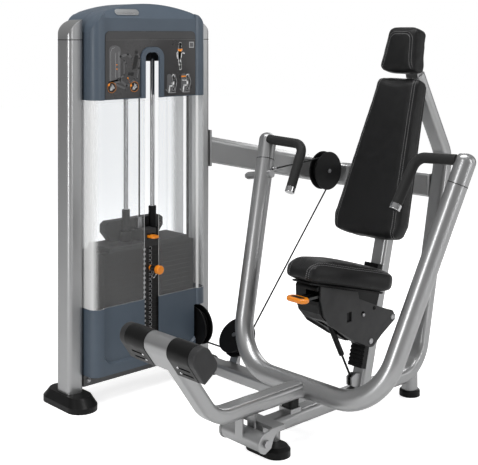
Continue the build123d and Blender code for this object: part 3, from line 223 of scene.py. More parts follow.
INKS = {"white": (0.80, 0.80, 0.80), "grey": (0.105, 0.105, 0.108), "light": (0.36, 0.36, 0.37),
        "black": (0.006, 0.006, 0.006), "orange": (0.95, 0.29, 0.012), "head": (0.05, 0.05, 0.052)}
for ink, tone in INKS.items():
    MATS[f"print_{ink}"] = surface(f"print_{ink}", tone, 0.4, grain=1500.0, depth=0.01, edge=0, wear=0)


def screen_material(name, haze, flank):
    """Clear moulded screen: hazy over its field, frosted on the flanks that face sideways."""
    material = bpy.data.materials.new(name)
    material.use_nodes = True
    tree = material.node_tree
    tree.nodes.clear()
    geometry = add_node(tree, "ShaderNodeNewGeometry")
    coords = add_node(tree, "ShaderNodeTexCoord").outputs["Object"]
    facing = add_node(tree, "ShaderNodeSeparateXYZ", None, {0: geometry.outputs["Normal"]}).outputs[0]
    side_on = ramp(tree, math_node(tree, "ABSOLUTE", facing), 0.97, 0.55)
    mottled = noise_value(tree, coords, 3.0, 3.0)
    field = ramp(tree, mottled, 0.3, 0.7, haze * 0.9, haze * 1.1)
    frost = math_node(tree, "ADD", math_node(tree, "MULTIPLY", side_on, flank), field, True)
    speckle = noise_value(tree, coords, 1400.0, 2.0)
    bump = add_node(tree, "ShaderNodeBump", None,
                    {"Height": speckle, "Strength": 0.2, "Distance": 0.00003}).outputs[0]
    clear = add_node(tree, "ShaderNodeBsdfTransparent", None, {0: (0.955, 0.96, 0.965, 1)}).outputs[0]
    white = add_node(tree, "ShaderNodeBsdfPrincipled", None,
                     {"Base Color": (0.94, 0.94, 0.935, 1), "Roughness": 0.45, "Normal": bump}).outputs[0]
    mixed = add_node(tree, "ShaderNodeMixShader", None, {0: frost, 1: clear, 2: white}).outputs[0]
    out = add_node(tree, "ShaderNodeOutputMaterial")
    tree.links.new(mixed, out.inputs[0])
    return material


MATS["clear_screen"] = screen_material("clear_screen", 0.055, 0.55)
MATS["rear_screen"] = screen_material("rear_screen", 0.01, 0.5)
SLOT_OF = {row["node"]: row["material_slot"] for row in frame["record"]["subparts"]}
LOOKS = {"selector_pin": "knob", "seat_lever": "lever", "rear_window": "rear_screen",
         "base_crossmember": "crossmember_paint", "seat_carriage": "black_plastic",
         "gas_cylinder": "black_plastic", "gas_rod": "black_plastic"}
for node_name, obj in nodes.items():
    obj.data.materials.clear()
    obj.data.materials.append(MATS[LOOKS.get(node_name, SLOT_OF[node_name])])


# ---------------------------------------------------------------- mesh helpers
def add_object(name, data):
    obj = bpy.data.objects.new(name, data)
    bpy.context.scene.collection.objects.link(obj)
    return obj


def piece(name, verts, faces, look, body, smooth=True):
    mesh = bpy.data.meshes.new(name)
    mesh.from_pydata([tuple(v) for v in verts], [], faces)
    mesh.validate()
    mesh.materials.append(MATS[look])
    for polygon in mesh.polygons:
        polygon.use_smooth = smooth
    obj = add_object(name, mesh)
    if body:
        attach(obj, body)
    return obj


def circle(middle, u, v, radius, sides):
    """Points round a middle in the plane of the unit vectors u and v."""
    turns = [2 * math.pi * k / sides for k in range(sides)]
    return [middle + (u * math.cos(a) + v * math.sin(a)) * radius for a in turns]


class Build:
    """Collects vertices and faces of many small shapes into one mesh."""

    def __init__(self):
        self.verts, self.faces = [], []

    def ring_stack(self, rings, closed_path=False, caps=True):
        start, count, size = len(self.verts), len(rings), len(rings[0])
        for ring in rings:
            self.verts.extend(ring)
        for i in range(count if closed_path else count - 1):
            a, b = start + i * size, start + ((i + 1) % count) * size
            for k in range(size):
                n = (k + 1) % size
                self.faces.append((a + k, a + n, b + n, b + k))
        if caps and not closed_path:
            self.faces.append(tuple(start + k for k in reversed(range(size))))
            last = start + (count - 1) * size
            self.faces.append(tuple(last + k for k in range(size)))

    def tube(self, points, radius, sides=10, closed=False):
        """Round tube along points; radius is a number or one value per point."""
        pts = [Vector(p) for p in points]
        count = len(pts)
        radii = radius if isinstance(radius, (list, tuple)) else [radius] * count
        rings, normal = [], None
        for i, p in enumerate(pts):
            before = pts[i - 1] if i or closed else pts[0]
            after = pts[(i + 1) % count] if i < count - 1 or closed else pts[-1]
            way = (after - before).normalized()
            if normal is None:
                normal = way.orthogonal().normalized()
            normal = (normal - way * normal.dot(way)).normalized()
            rings.append(circle(p, normal, way.cross(normal), radii[i], sides))
        self.ring_stack(rings, closed)

    def lathe(self, origin, axis, profile, sides=24):
        """Turned shape: profile is (distance along the axis, radius) pairs."""
        axis = Vector(axis).normalized()
        u = axis.orthogonal().normalized()
        self.ring_stack([circle(Vector(origin) + axis * t, u, axis.cross(u), r, sides) for t, r in profile])

    def sheet(self, outline, place, thick):
        """Flat outline pushed out along the third axis of place(u, v, w)."""
        count = len(outline)
        start = len(self.verts)
        self.verts.extend([place(u, v, 0) for u, v in outline] + [place(u, v, thick) for u, v in outline])
        self.faces.append(tuple(start + k for k in reversed(range(count))))
        self.faces.append(tuple(start + count + k for k in range(count)))
        for k in range(count):
            n = (k + 1) % count
            self.faces.append((start + k, start + n, start + count + n, start + count + k))

    def make(self, name, look, body, slot, smooth=True):
        obj = piece(name, self.verts, self.faces, look, body, smooth)
        bm = bmesh.new()
        bm.from_mesh(obj.data)
        bmesh.ops.recalc_face_normals(bm, faces=bm.faces)
        bm.to_mesh(obj.data)
        bm.free()
        return obj


# ---------------------------------------------------------------- padded covers
def pad_axes(node, tilt, upright):
    """Local axes of a pad (across, along, outward) and its extents along them, from its CAD solid."""
    s, c = math.sin(math.radians(tilt)), math.cos(math.radians(tilt))
    if upright:
        axes = np.array([(1, 0, 0), (0, s, c), (0, -c, s)], float)
    else:
        axes = np.array([(1, 0, 0), (0, c, -s), (0, s, c)], float)
    points = np.array([v.co for v in nodes[node].data.vertices], float) @ axes.T
    return axes, points


def half_width(points, v, slack=0.004):
    """Half width of the CAD pad at a height along it."""
    edge = points[:, 0] > 0
    rows = points[edge]
    order = np.argsort(rows[:, 1])
    rows = rows[order]
    hull = []
    for row in rows:
        while len(hull) >= 2 and ((hull[-1][1] - hull[-2][1]) * (row[0] - hull[-2][0])
                                  - (hull[-1][0] - hull[-2][0]) * (row[1] - hull[-2][1])) >= 0:
            hull.pop()
        hull.append(row)
    hull = np.array(hull)
    return float(np.interp(v, hull[:, 1], hull[:, 0])) - slack


def inflate(obj, pressure, cap, frames=20):
    """Swells a closed mesh as cloth under air pressure, moving no point further than cap."""
    rest = np.array([v.co for v in obj.data.vertices], float)
    cloth = obj.modifiers.new("cloth", "CLOTH")
    settings = cloth.settings
    settings.quality = 6
    settings.mass = 0.35
    settings.tension_stiffness = 22
    settings.compression_stiffness = 22
    settings.shear_stiffness = 8
    settings.bending_stiffness = 1.2
    settings.use_pressure = True
    settings.uniform_pressure_force = pressure
    settings.effector_weights.gravity = 0.0
    cloth.point_cache.frame_start = 1
    cloth.point_cache.frame_end = frames
    scene = bpy.context.scene
    for f in range(1, frames + 1):
        scene.frame_set(f)
    graph = bpy.context.evaluated_depsgraph_get()
    moved = np.array([v.co for v in obj.evaluated_get(graph).data.vertices], float)
    obj.modifiers.remove(cloth)
    scene.frame_set(1)
    shift = moved - rest
    length = np.linalg.norm(shift, axis=1)
    limit = cap * np.tanh(length / cap)
    shift *= (limit / np.maximum(length, 1e-9))[:, None]
    obj.data.vertices.foreach_set("co", (rest + shift).astype(np.float32).ravel())
    obj.data.update()


def apply_all(obj):
    graph = bpy.context.evaluated_depsgraph_get()
    baked = bpy.data.meshes.new_from_object(obj.evaluated_get(graph))
    obj.modifiers.clear()
    old = obj.data
    obj.data = baked
    bpy.data.meshes.remove(old)


def relax(obj, rounds, factor=0.5):
    modifier = obj.modifiers.new("relax", "SMOOTH")
    modifier.iterations = rounds
    modifier.factor = factor
    apply_all(obj)


SHRINK = 0.003           # how much smaller each pad starts before it swells


def padded(name, node, tilt, upright, body, cap, crown, stand, front_drop=0.0, voxel=0.0055):
    """Cushion grown from its CAD solid: shrunk, remeshed, swollen as cloth, fitted back, crowned."""
    axes, points = pad_axes(node, tilt, upright)
    low, high = points.min(0), points.max(0)
    mesh = nodes[node].data.copy()
    obj = add_object(name, mesh)
    mesh.materials.clear()
    mesh.materials.append(MATS["upholstery"])
    local = np.array([v.co for v in mesh.vertices], float) @ axes.T
    middle = (low + high) / 2
    local = middle + (local - middle) * (1 - 2 * SHRINK / (high - low))
    mesh.vertices.foreach_set("co", (local @ axes).astype(np.float32).ravel())
    weld = obj.modifiers.new("weld", "WELD")
    weld.merge_threshold = 0.00005
    remesh = obj.modifiers.new("remesh", "REMESH")
    remesh.mode = "VOXEL"
    remesh.voxel_size = voxel
    remesh.use_smooth_shade = True
    apply_all(obj)
    relax(obj, 6)
    inflate(obj, 4.0, cap)
    relax(obj, 16)
    local = np.array([v.co for v in obj.data.vertices], float) @ axes.T
    grown = (local - local.min(0)) / np.ptp(local, axis=0)
    local = low - stand + grown * (high - low + 2 * np.array(stand))
    t = (local - low) / (high - low)
    local[:, 2] -= front_drop * np.clip(1 - t[:, 1] / 0.2, 0, 1) ** 2 * np.clip(t[:, 2], 0, 1)
    dome = np.clip(1 - (2 * t[:, 0] - 1) ** 2, 0, 1) ** 0.7 * np.clip(1 - (2 * t[:, 1] - 1) ** 4, 0, 1)
    local[:, 2] += crown * dome * np.clip(t[:, 2], 0, 1) ** 2
    local[:, 2] = np.maximum(local[:, 2], low[2])
    obj.data.vertices.foreach_set("co", (local @ axes).astype(np.float32).ravel())
    subdivide = obj.modifiers.new("fine", "SUBSURF")
    subdivide.levels = subdivide.render_levels = 1
    apply_all(obj)
    for polygon in obj.data.polygons:
        polygon.use_smooth = True
    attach(obj, body)
    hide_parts(node)
    return obj, axes, low, high, points


def on_surface(obj):
    graph = bpy.context.evaluated_depsgraph_get()
    return BVHTree.FromObject(obj, graph)


def resample(points, step):
    pts = np.array(points, float)
    seg = np.linalg.norm(np.diff(pts, axis=0), axis=1)
    s = np.concatenate([[0], np.cumsum(seg)])
    count = max(2, int(s[-1] / step))
    at = np.linspace(0, s[-1], count)
    return np.stack([np.interp(at, s, pts[:, k]) for k in range(3)], 1)


def drape(tree, axes, path, step=0.003):
    """Points of a path dropped onto the pad, each with the surface normal."""
    spots = []
    for p in resample(path, step):
        world = Vector(p @ axes)
        hit, normal, _, _ = tree.find_nearest(world)
        spots.append((hit, normal))
    return spots


def groove(obj, spots, width, depth):
    """Presses a sewn seam into the pad along draped points."""
    kd = KDTree(len(spots))
    for i, (p, _) in enumerate(spots):
        kd.insert(p, i)
    kd.balance()
    for vertex in obj.data.vertices:
        _, i, distance = kd.find(vertex.co)
        if distance < width:
            fall = 0.5 + 0.5 * math.cos(math.pi * distance / width)
            vertex.co -= spots[i][1] * depth * fall
    obj.data.update()


def stitch_row(build, tree, spots, offset, pitch=0.0068, length=0.0050, radius=0.00085):
    """Row of single stitches beside a seam, set into the cover."""
    line = []
    for i, (p, n) in enumerate(spots):
        way = (spots[min(i + 1, len(spots) - 1)][0] - spots[max(i - 1, 0)][0]).normalized()
        hit, normal, _, _ = tree.find_nearest(p + way.cross(n) * offset)
        line.append(hit + normal * 0.0002)
    pts = resample([tuple(p) for p in line], 0.0008)
    seg = 0.0
    total = np.concatenate([[0], np.cumsum(np.linalg.norm(np.diff(pts, axis=0), axis=1))])
    while seg + length < total[-1]:
        stops = [seg + length * k / 4 for k in range(5)]
        stitch = [Vector([np.interp(s, total, pts[:, k]) for k in range(3)]) for s in stops]
        build.tube(stitch, [radius * r for r in (0.45, 0.95, 1.0, 0.95, 0.45)], 6)
        seg += pitch


def back_seam(points, low, high, side, inset, foot_radius, top_radius):
    """Seam of a back rest's side panel: over the top edge, down the front corner, back under the foot."""
    front, back = high[2] + 0.004, low[2] + 0.35 * (high[2] - low[2])
    path = []

    def put(v, w):
        v_in = min(max(v, low[1] + 0.03), high[1] - 0.012)
        path.append((side * (half_width(points, v_in) - inset), v, w))
    top, foot = high[1] + 0.002, low[1] - 0.002
    put(top, back)
    for k in range(9):
        a = math.radians(90 - k * 90 / 8)
        put(top - top_radius + top_radius * math.sin(a), front - top_radius + top_radius * math.cos(a))
    for k in range(9):
        a = math.radians(k * 90 / 8)
        put(foot + foot_radius - foot_radius * math.sin(a), front - foot_radius + foot_radius * math.cos(a))
    put(foot, back)
    return path


def face_seam(points, low, high, inset=0.010, top_gap=0.020, corner=0.034, flare=0.014):
    """Seam of the head rest: up one side of its face, over in an arc and down the other side."""
    front, foot, bend = high[2] + 0.004, low[1] + 0.002, high[1] - top_gap - corner
    path = []
    for k in range(13):
        v = foot + (bend - foot) * k / 12
        edge = half_width(points, max(v, low[1] + 0.03)) - inset
        path.append((edge + flare * max(0, 1 - k / 4) ** 2, v, front))
    for k in range(1, 9):
        a = math.radians(k * 90 / 8)
        path.append((edge - corner + corner * math.cos(a), bend + corner * math.sin(a), front))
    return path + [(-u, v, w) for u, v, w in reversed(path)]


BACK_LEAN, HEAD_LEAN, SEAT_TILT = 20.5, 15.0, 12.5
pads = {}
for pad_name, pad_node, tilt, upright, body, cap, crown, stand, front_drop in (
        ("back_cushion", "back_pad", BACK_LEAN, True, "frame", 0.006, 0.005, (0.005, 0.002, 0.001), 0.0),
        ("head_cushion", "head_pad", HEAD_LEAN, True, "frame", 0.005, 0.003, (0.008, 0.009, 0.003), 0.0),
        ("seat_cushion", "seat_pad", SEAT_TILT, False, "seat", 0.009, 0.008, (0.002, 0.000, 0.001), 0.016)):
    pads[pad_name] = padded(pad_name, pad_node, tilt, upright, body, cap, crown, stand, front_drop)


def sew(pad_name, paths, body):
    """Presses the seams into a cushion and sets a row of stitches on each side of every seam."""
    obj, axes = pads[pad_name][:2]
    surface_tree = on_surface(obj)
    seams = [drape(surface_tree, axes, path) for path in paths]
    for seam in seams:
        groove(obj, seam, 0.006, 0.0022)
    surface_tree = on_surface(obj)
    thread = Build()
    for seam in seams:
        for offset in (-0.0046, 0.0046):
            stitch_row(thread, surface_tree, seam, offset)
    thread.make(pad_name.replace("cushion", "stitches"), "thread", body, "upholstery")


low, high, points = pads["back_cushion"][2:]
sew("back_cushion", [back_seam(points, low, high, side, 0.010, 0.045, 0.022) for side in (-1, 1)], "frame")
low, high, points = pads["head_cushion"][2:]
sew("head_cushion", [face_seam(points, low, high)], "frame")

# seat: side panels run along the top edge and turn down the front corners
low, high, points = pads["seat_cushion"][2:]
paths = []
for side in (-1, 1):
    path = []
    for k in range(24):
        v = high[1] - 0.03 - (high[1] - low[1] - 0.075) * k / 23
        path.append((side * (half_width(points, v) - 0.006), v, high[2] + 0.003))
    v_front = low[1] + 0.045
    for k in range(1, 9):
        a = math.radians(k * 90 / 8)
        path.append((side * (half_width(points, v_front) - 0.010 - 0.016 * math.sin(a)),
                     v_front - 0.045 * math.sin(a) - 0.004, high[2] - 0.03 + 0.03 * math.cos(a)))
    path.append((side * (half_width(points, v_front) - 0.028), low[1] - 0.004, low[2] + 0.004))
    paths.append(path)
sew("seat_cushion", paths, "seat")

# ---------------------------------------------------------------- placard drawing
sheet_low, sheet_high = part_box("placard")
PRINT_T = 0.0004


def on_placard(layer):
    def place(u, v, w):
        return Vector((sheet_high.x + layer * PRINT_T + w, sheet_low.y + u * MM, sheet_low.z + v * MM))
    return place


def disc_outline(u, v, radius, count=28, squash=1.0):
    angles = [2 * math.pi * k / count for k in range(count)]
    return [(u + radius * math.cos(a), v + radius * squash * math.sin(a)) for a in angles]


def ring_outline(build, u, v, outer, inner, place, thick, count=32, first=0, last=360):
    """Flat ring, or a stretch of one between two angles in degrees."""
    for k in range(count):
        a, b = [math.radians(first + (last - first) * step / count) for step in (k, k + 1)]
        corners = ((outer, a), (outer, b), (inner, b), (inner, a))
        build.sheet([(u + r * math.cos(turn), v + r * math.sin(turn)) for r, turn in corners], place, thick)


def stroke(build, line, wide, place, thick=PRINT_T):
    """Line of even width with round joints."""
    for (u0, v0), (u1, v1) in zip(line, line[1:]):
        long = math.hypot(u1 - u0, v1 - v0)
        nu, nv = -(v1 - v0) / long * wide / 2, (u1 - u0) / long * wide / 2
        band = [(u0 + nu, v0 + nv), (u0 - nu, v0 - nv), (u1 - nu, v1 - nv), (u1 + nu, v1 + nv)]
        build.sheet(band, place, thick)
    for u, v in line:
        build.sheet(disc_outline(u, v, wide / 2, 12), place, thick)


def arch(u0, u1, v0, v1, rise):
    """Outline of a tower with a rounded head."""
    middle, half = (u0 + u1) / 2, (u1 - u0) / 2
    head = [(middle + half * math.cos(math.pi * k / 12), v1 - rise + rise * math.sin(math.pi * k / 12))
            for k in range(13)]
    return [(u1, v0)] + head + [(u0, v0)]


sheet_w, sheet_h = (sheet_high.y - sheet_low.y) / MM, (sheet_high.z - sheet_low.z) / MM
art = {key: Build() for key in ("head", "grey", "light", "black", "white", "orange")}
flat, over, top = on_placard(0), on_placard(1), on_placard(2)
EDGE, ROUND, HEAD_TALL = 2, 18, 29
left, right, head_low = EDGE, sheet_w - EDGE, sheet_h - HEAD_TALL
turns = [math.radians(a) for a in range(0, 91, 15)]
round_v = sheet_h - EDGE - ROUND
corner_left = [(left + ROUND - ROUND * math.cos(a), round_v + ROUND * math.sin(a)) for a in turns]
corner_right = [(right - ROUND + ROUND * math.sin(a), round_v + ROUND * math.cos(a)) for a in turns]
art["head"].sheet([(left, head_low)] + corner_left + corner_right + [(right, head_low)], flat, PRINT_T)
rule_low, rule_high = head_low - 5, head_low - 3.5
art["grey"].sheet([(left, rule_low), (left, rule_high), (right, rule_high), (right, rule_low)], flat, PRINT_T)
# machine outline
art["grey"].sheet(arch(16, 70, 58, 200, 18), flat, PRINT_T)
stroke(art["light"], [(24, 66), (24, 176), (30, 188), (42, 192)], 1.2, over)
stroke(art["light"], [(46, 78), (46, 172)], 1.2, over)
stroke(art["light"], [(62, 66), (62, 176)], 1.2, over)
stroke(art["grey"], [(70, 158), (104, 166), (124, 150)], 9, flat)
stroke(art["grey"], [(148, 172), (160, 150), (156, 112), (146, 72)], 7, flat)
stroke(art["grey"], [(96, 132), (86, 144), (86, 88), (60, 70), (12, 62)], 6, flat)
stroke(art["grey"], [(96, 132), (96, 118)], 4, flat)
stroke(art["grey"], [(60, 74), (98, 46), (118, 52), (138, 72)], 9, flat)
stroke(art["grey"], [(30, 60), (96, 34)], 8, flat)
art["black"].sheet([(124, 106), (142, 112), (154, 160), (140, 164), (134, 150)], over, PRINT_T)
art["black"].sheet([(136, 168), (150, 166), (152, 178), (140, 180)], over, PRINT_T)
art["black"].sheet([(104, 86), (130, 84), (132, 96), (108, 98)], over, PRINT_T)
for u, v, r in ((52, 127, 2.6), (52, 111, 2.6), (103, 76, 3.0)):
    art["orange"].sheet(disc_outline(u, v, r, 16), top, PRINT_T)
# two round callouts, each with a hand
for u, v, dot_u, dot_v in ((29, 42, 15, 53), (134, 42, 118, 47)):
    art["black"].sheet(disc_outline(u, v, 18.5), top, PRINT_T)
    ring_outline(art["orange"], u, v, 19.6, 18.5, top, PRINT_T)
    art["orange"].sheet(disc_outline(dot_u, dot_v, 4.6, 20), on_placard(3), PRINT_T)
    hand = on_placard(3)
    stroke(art["white"], [(u - 6, v - 8), (u - 2, v + 1), (u + 6, v + 5)], 6, hand)
    stroke(art["white"], [(u - 1, v - 9), (u + 5, v - 2), (u + 11, v - 1)], 4, hand)
    stroke(art["white"], [(u + 2, v + 4), (u + 1, v + 11)], 3.2, hand)
for k in range(4):
    art["orange"].sheet(disc_outline(106 + 3 * k, 71 - 6 * k, 1.1, 10), top, PRINT_T)


def figure(build, u, v, scale, place, joints, wide):
    """Plain standing or seated person made of strokes: head disc, trunk, arms and legs."""
    spots = {key: (u + a * scale, v + b * scale) for key, (a, b) in joints.items()}
    head_u, head_v = spots["head"]
    build.sheet(disc_outline(head_u, head_v, 7.0 * scale, 20, 1.25), place, PRINT_T)
    for chain, weight in (("head neck chest hip", 1.15), ("chest elbow hand", 0.55),
                          ("chest elbow2 hand2", 0.55), ("hip knee foot", 0.75), ("hip knee2 foot2", 0.75)):
        names = [n for n in chain.split() if n in spots]
        if len(names) > 1:
            stroke(build, [spots[n] for n in names], wide * weight * scale, place)


# standing figure, then the start and the end of the press
STANDING = {"head": (0, 98), "neck": (-1, 86), "chest": (-2, 74), "hip": (-3, 46), "elbow": (-16, 62),
            "hand": (-13, 44), "elbow2": (10, 66), "hand2": (20, 62), "knee": (-6, 26), "foot": (4, 4),
            "knee2": (2, 24), "foot2": (0, 0)}
figure(art["white"], 361, 104, 1.0, flat, STANDING, 12)
art["white"].sheet([(349, 182), (372, 184), (368, 148), (352, 148)], flat, PRINT_T)
art["orange"].sheet([(347, 184), (352, 176), (360, 173), (369, 176), (372, 185), (360, 182)], over, PRINT_T)
SEATED = {"head": (4, 76), "neck": (3, 66), "chest": (4, 58), "hip": (4, 34), "knee": (-16, 34),
          "foot": (-20, 8), "elbow": (-6, 44), "hand": (0, 52)}
PRESSING = dict(SEATED, elbow=(-12, 56), hand=(-24, 58))
for u, pose in ((322, SEATED), (394, PRESSING)):
    art["grey"].sheet(arch(u - 28, u - 4, 14, 86, 9), flat, PRINT_T)
    stroke(art["light"], [(u + 12, 84), (u + 22, 54), (u + 12, 16)], 2.2, flat)
    stroke(art["light"], [(u - 34, 26), (u - 20, 12), (u + 16, 12)], 2.2, flat)
    ring_outline(art["light"], u + 4, 26, 7, 5.5, flat, PRINT_T, 18)
    figure(art["white"], u, 8, 0.9, over, pose, 8)
art["orange"].sheet([(366, 72), (390, 72), (390, 77), (366, 77)], top, PRINT_T)
art["light"].sheet([(407, 188), (432, 188), (432, 212), (407, 212)], flat, PRINT_T)
art["grey"].sheet([(411, 192), (428, 192), (428, 208), (411, 208)], over, PRINT_T)
for key, build in art.items():
    build.make(f"placard_art_{key}", f"print_{key}", "frame", "placard_print", False)

# ---------------------------------------------------------------- weight stack marks
PITCH, MARK_T = 0.0184, 0.0003
LABEL_LEFT, LABEL_RIGHT, LABEL_HALF = -0.0335, -0.0215, 0.0042
HOLE_RING_OUTER, HOLE_RING_INNER = 0.0078, 0.0062
for group, count, body in (("plates_selected", 5, "weight_stack"), ("plates_resting", 17, "frame")):
    low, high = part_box(group)
    middle_y = (low.y + high.y) / 2
    labels, rings = Build(), Build()

    def on_plate(u, v, w, x=high.x, y=middle_y):
        return Vector((x + w, y + u, v))
    for k in range(count):
        z = high.z - PITCH * (k + 0.5) + 0.0002
        labels.sheet([(LABEL_LEFT, z - LABEL_HALF), (LABEL_RIGHT, z - LABEL_HALF),
                      (LABEL_RIGHT, z + LABEL_HALF), (LABEL_LEFT, z + LABEL_HALF)], on_plate, MARK_T)
        ring_outline(rings, 0, z, HOLE_RING_OUTER, HOLE_RING_INNER, on_plate, MARK_T, 20, -150, 150)
    labels.make(f"{group}_labels", "print_light", body, "plate_iron", False)
    rings.make(f"{group}_hole_rings", "print_light", body, "plate_iron", False)

# wire loop under the selector knob
pin_low, pin_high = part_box("selector_pin")
pin_y, pin_z = (pin_low.y + pin_high.y) / 2, (pin_low.z + pin_high.z) / 2
NECK_BACK, LOOP_R, LOOP_DROP, WIRE_R = 0.036, 0.012, 0.020, 0.0011
neck_x = pin_high.x - NECK_BACK
loop = [Vector((neck_x + LOOP_R, pin_y, pin_z - 0.011))]
for k in range(13):
    a = math.pi * k / 12
    loop.append(Vector((neck_x + 0.011 * math.cos(a), pin_y - LOOP_R * math.sin(a),
                        pin_z - 0.014 - LOOP_DROP * math.sin(a))))
loop.append(Vector((neck_x - LOOP_R, pin_y, pin_z - 0.011)))
wire = Build()
wire.tube(loop, WIRE_R, 8)
wire.make("selector_wire", "polished_steel", "selector_pin", "polished_steel")


# ---------------------------------------------------------------- screws and seams on the frame
def button_head(build, origin, axis, radius, tall):
    """Domed socket screw head."""
    profile = [(0, radius), (tall * 0.35, radius), (tall * 0.75, radius * 0.82), (tall, radius * 0.5),
               (tall, radius * 0.42), (tall * 0.35, radius * 0.40), (tall * 0.35, radius * 0.02)]
    build.lathe(origin, axis, profile)


def hex_head(build, origin, axis, radius, tall):
    axis = Vector(axis).normalized()
    build.lathe(origin, axis, [(0, radius * 1.25), (tall * 0.2, radius * 1.25), (tall * 0.2, radius * 1.2)])
    hexagon = [(0, radius), (tall * 0.7, radius), (tall * 0.8, radius * 0.86)]
    build.lathe(Vector(origin) + axis * tall * 0.2, axis, hexagon, 6)


# pedal: two screws on each cover, level with the screw slots
DOWN, FRONT = Vector((0, 0.577, -0.817)), Vector((0, -0.817, -0.577))
PEDAL_R, SCREW_SINK, SCREW_X = 0.037, 0.0012, 0.083
points = np.array([v.co for v in nodes["pedal_pads"].data.vertices], float)
centre = (DOWN * ((points @ np.array(DOWN)).min() + PEDAL_R) +
          FRONT * ((points @ np.array(FRONT)).max() - PEDAL_R))
screws = Build()
for side in (-1, 1):
    for along in (0.024, 0.048):
        spot = centre + DOWN * along + FRONT * (PEDAL_R - SCREW_SINK) + Vector((side * SCREW_X, 0, 0))
        button_head(screws, spot, FRONT, 0.0048, 0.0036)
screws.make("pedal_screws", "polished_steel", "press_arm", "polished_steel")

# base crossmember: a bolt near each end and one small screw between them
bar_low, bar_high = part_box("base_crossmember")
bolts = Build()
for y in (bar_low.y + 0.022, bar_high.y - 0.022):
    hex_head(bolts, (bar_high.x, y, (bar_low.z + bar_high.z) / 2), (1, 0, 0), 0.0075, 0.007)
button_head(bolts, (bar_high.x - 0.0005, bar_low.y + 0.19, bar_low.z + 0.029), (1, 0, 0), 0.005, 0.003)
bolts.make("base_bolts", "brushed_steel", "frame", "brushed_steel")

# seat side plates: bright pin heads at the three cross bolts, one dark screw
PIN_HEADS = ((0.421, 0.3815, 0.0065), (0.585, 0.343, 0.0095), (0.462, 0.2795, 0.0105))
cheek_low, cheek_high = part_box("seat_side_plates")
heads, dark_heads = Build(), Build()
for x, way in ((cheek_low.x, -1), (cheek_high.x, 1)):
    for y, z, radius in PIN_HEADS:
        heads.lathe((x - way * 0.001, y, z), (way, 0, 0),
                    [(0, radius), (0.0028, radius), (0.0042, radius * 0.8), (0.0045, radius * 0.1)], 28)
    button_head(dark_heads, (x, 0.481, 0.3945), (way, 0, 0), 0.0075, 0.004)
heads.make("seat_pin_heads", "brushed_steel", "seat", "brushed_steel")
dark_heads.make("seat_plate_screws", "black_plastic", "seat", "black_plastic")

# seat lever: dark rounded inset lying in the recess of its top
lever_low, lever_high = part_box("seat_lever")
INSET_LONG, INSET_WIDE, INSET_THICK, RECESS_DEPTH = 0.0575, 0.0205, 0.0037, 0.004
inset_x, inset_y = (lever_low.x + lever_high.x) / 2, lever_low.y + 0.022
outline = []
for end in (1, -1):
    for k in range(11):
        a = math.radians(-90 + 18 * k) + (0 if end > 0 else math.pi)
        outline.append((end * (INSET_LONG - INSET_WIDE) / 2 + INSET_WIDE / 2 * math.cos(a),
                        INSET_WIDE / 2 * math.sin(a)))
recess_floor = lever_high.z - RECESS_DEPTH
inset = Build()
inset.sheet(outline, lambda u, v, w: Vector((inset_x + u, inset_y + v, recess_floor + w)), INSET_THICK)
inset.make("lever_inset", "black_plastic", "seat_lever", "black_plastic")

# painted shadow of the seam gaps: thin black rings under the handle caps and under the column caps
SEAM_HALF, SEAM_PROUD, SEAM_DEEP = 0.0013, 0.0005, 0.002
YOKE_TUBE_R, ARM_X_LOW = 0.0345, 0.41
SEAM_PROFILE = ((-SEAM_HALF, -SEAM_DEEP), (-SEAM_HALF, SEAM_PROUD), (SEAM_HALF, SEAM_PROUD),
                (SEAM_HALF, -SEAM_DEEP))
# black rings stand in for the shade inside the seam gaps
arm_seam_shadows, column_seam_shadows = Build(), Build()
cap_points = np.array([v.co for v in nodes["handle_caps"].data.vertices], float)
for side in (-1, 1):
    arm_way = np.array((side * 0.1636, 0.3374, 0.927))
    along = cap_points[cap_points[:, 0] * side > ARM_X_LOW]
    height = along @ arm_way
    rim = along[height < height.min() + 0.0005].mean(0)
    arm_seam_shadows.lathe(rim, arm_way, [(t, YOKE_TUBE_R + proud) for t, proud in SEAM_PROFILE], 48)
arm_seam_shadows.make("handle_cap_seam_shadows", "black_plastic", "press_arm", "black_plastic")


def outer_rim(rim, middle):
    """Points of a ring-shaped face that lie on its outer edge, in order round its middle."""
    angles = np.arctan2(rim[:, 1] - middle[1], rim[:, 0] - middle[0])
    reach = np.linalg.norm(rim - middle, axis=1)
    best = [reach[np.abs(angles - a) < 0.05].max() for a in angles]
    return [rim[k] for k in np.argsort(angles) if reach[k] >= best[k] - 0.0004]


cap_points = np.array([v.co for v in nodes["column_caps"].data.vertices], float)
cap_foot = cap_points[:, 2].min()
cap_middle = (cap_points[:, 1].min() + cap_points[:, 1].max()) / 2
on_foot = cap_points[:, 2] < cap_foot + 0.0004
# painted shadow: a black ring round the foot of each column cap
for side in (-1, 1):
    rim = cap_points[on_foot & ((cap_points[:, 1] - cap_middle) * side > 0), :2]
    middle = (rim.min(0) + rim.max(0)) / 2
    edge = outer_rim(rim, middle)
    rings = []
    for z, proud in SEAM_PROFILE:
        ring = [middle + (p - middle) * (1 + proud / np.linalg.norm(p - middle)) for p in edge]
        rings.append([Vector((q[0], q[1], cap_foot + z)) for q in ring])
    column_seam_shadows.ring_stack(rings)
column_seam_shadows.make("column_cap_seam_shadows", "black_plastic", "frame", "black_plastic", False)


def stretching_cable(name, node, axis):
    """Stands for a straight CAD cable: a straight tube from its far end to its near end, fixed in place."""
    spots = np.array([v.co for v in nodes[node].data.vertices], float)
    far = spots[:, axis] > spots[:, axis].mean()
    far_end, near_end = Vector(spots[far].mean(0)), Vector(spots[~far].mean(0))
    run = Build()
    run.tube([far_end.lerp(near_end, k / CABLE_STEPS) for k in range(CABLE_STEPS + 1)], CABLE_R, 12)
    obj = run.make(name, "cable_jacket", None, "cable_jacket")
    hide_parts(node)
    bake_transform(obj)
    return far_end, near_end


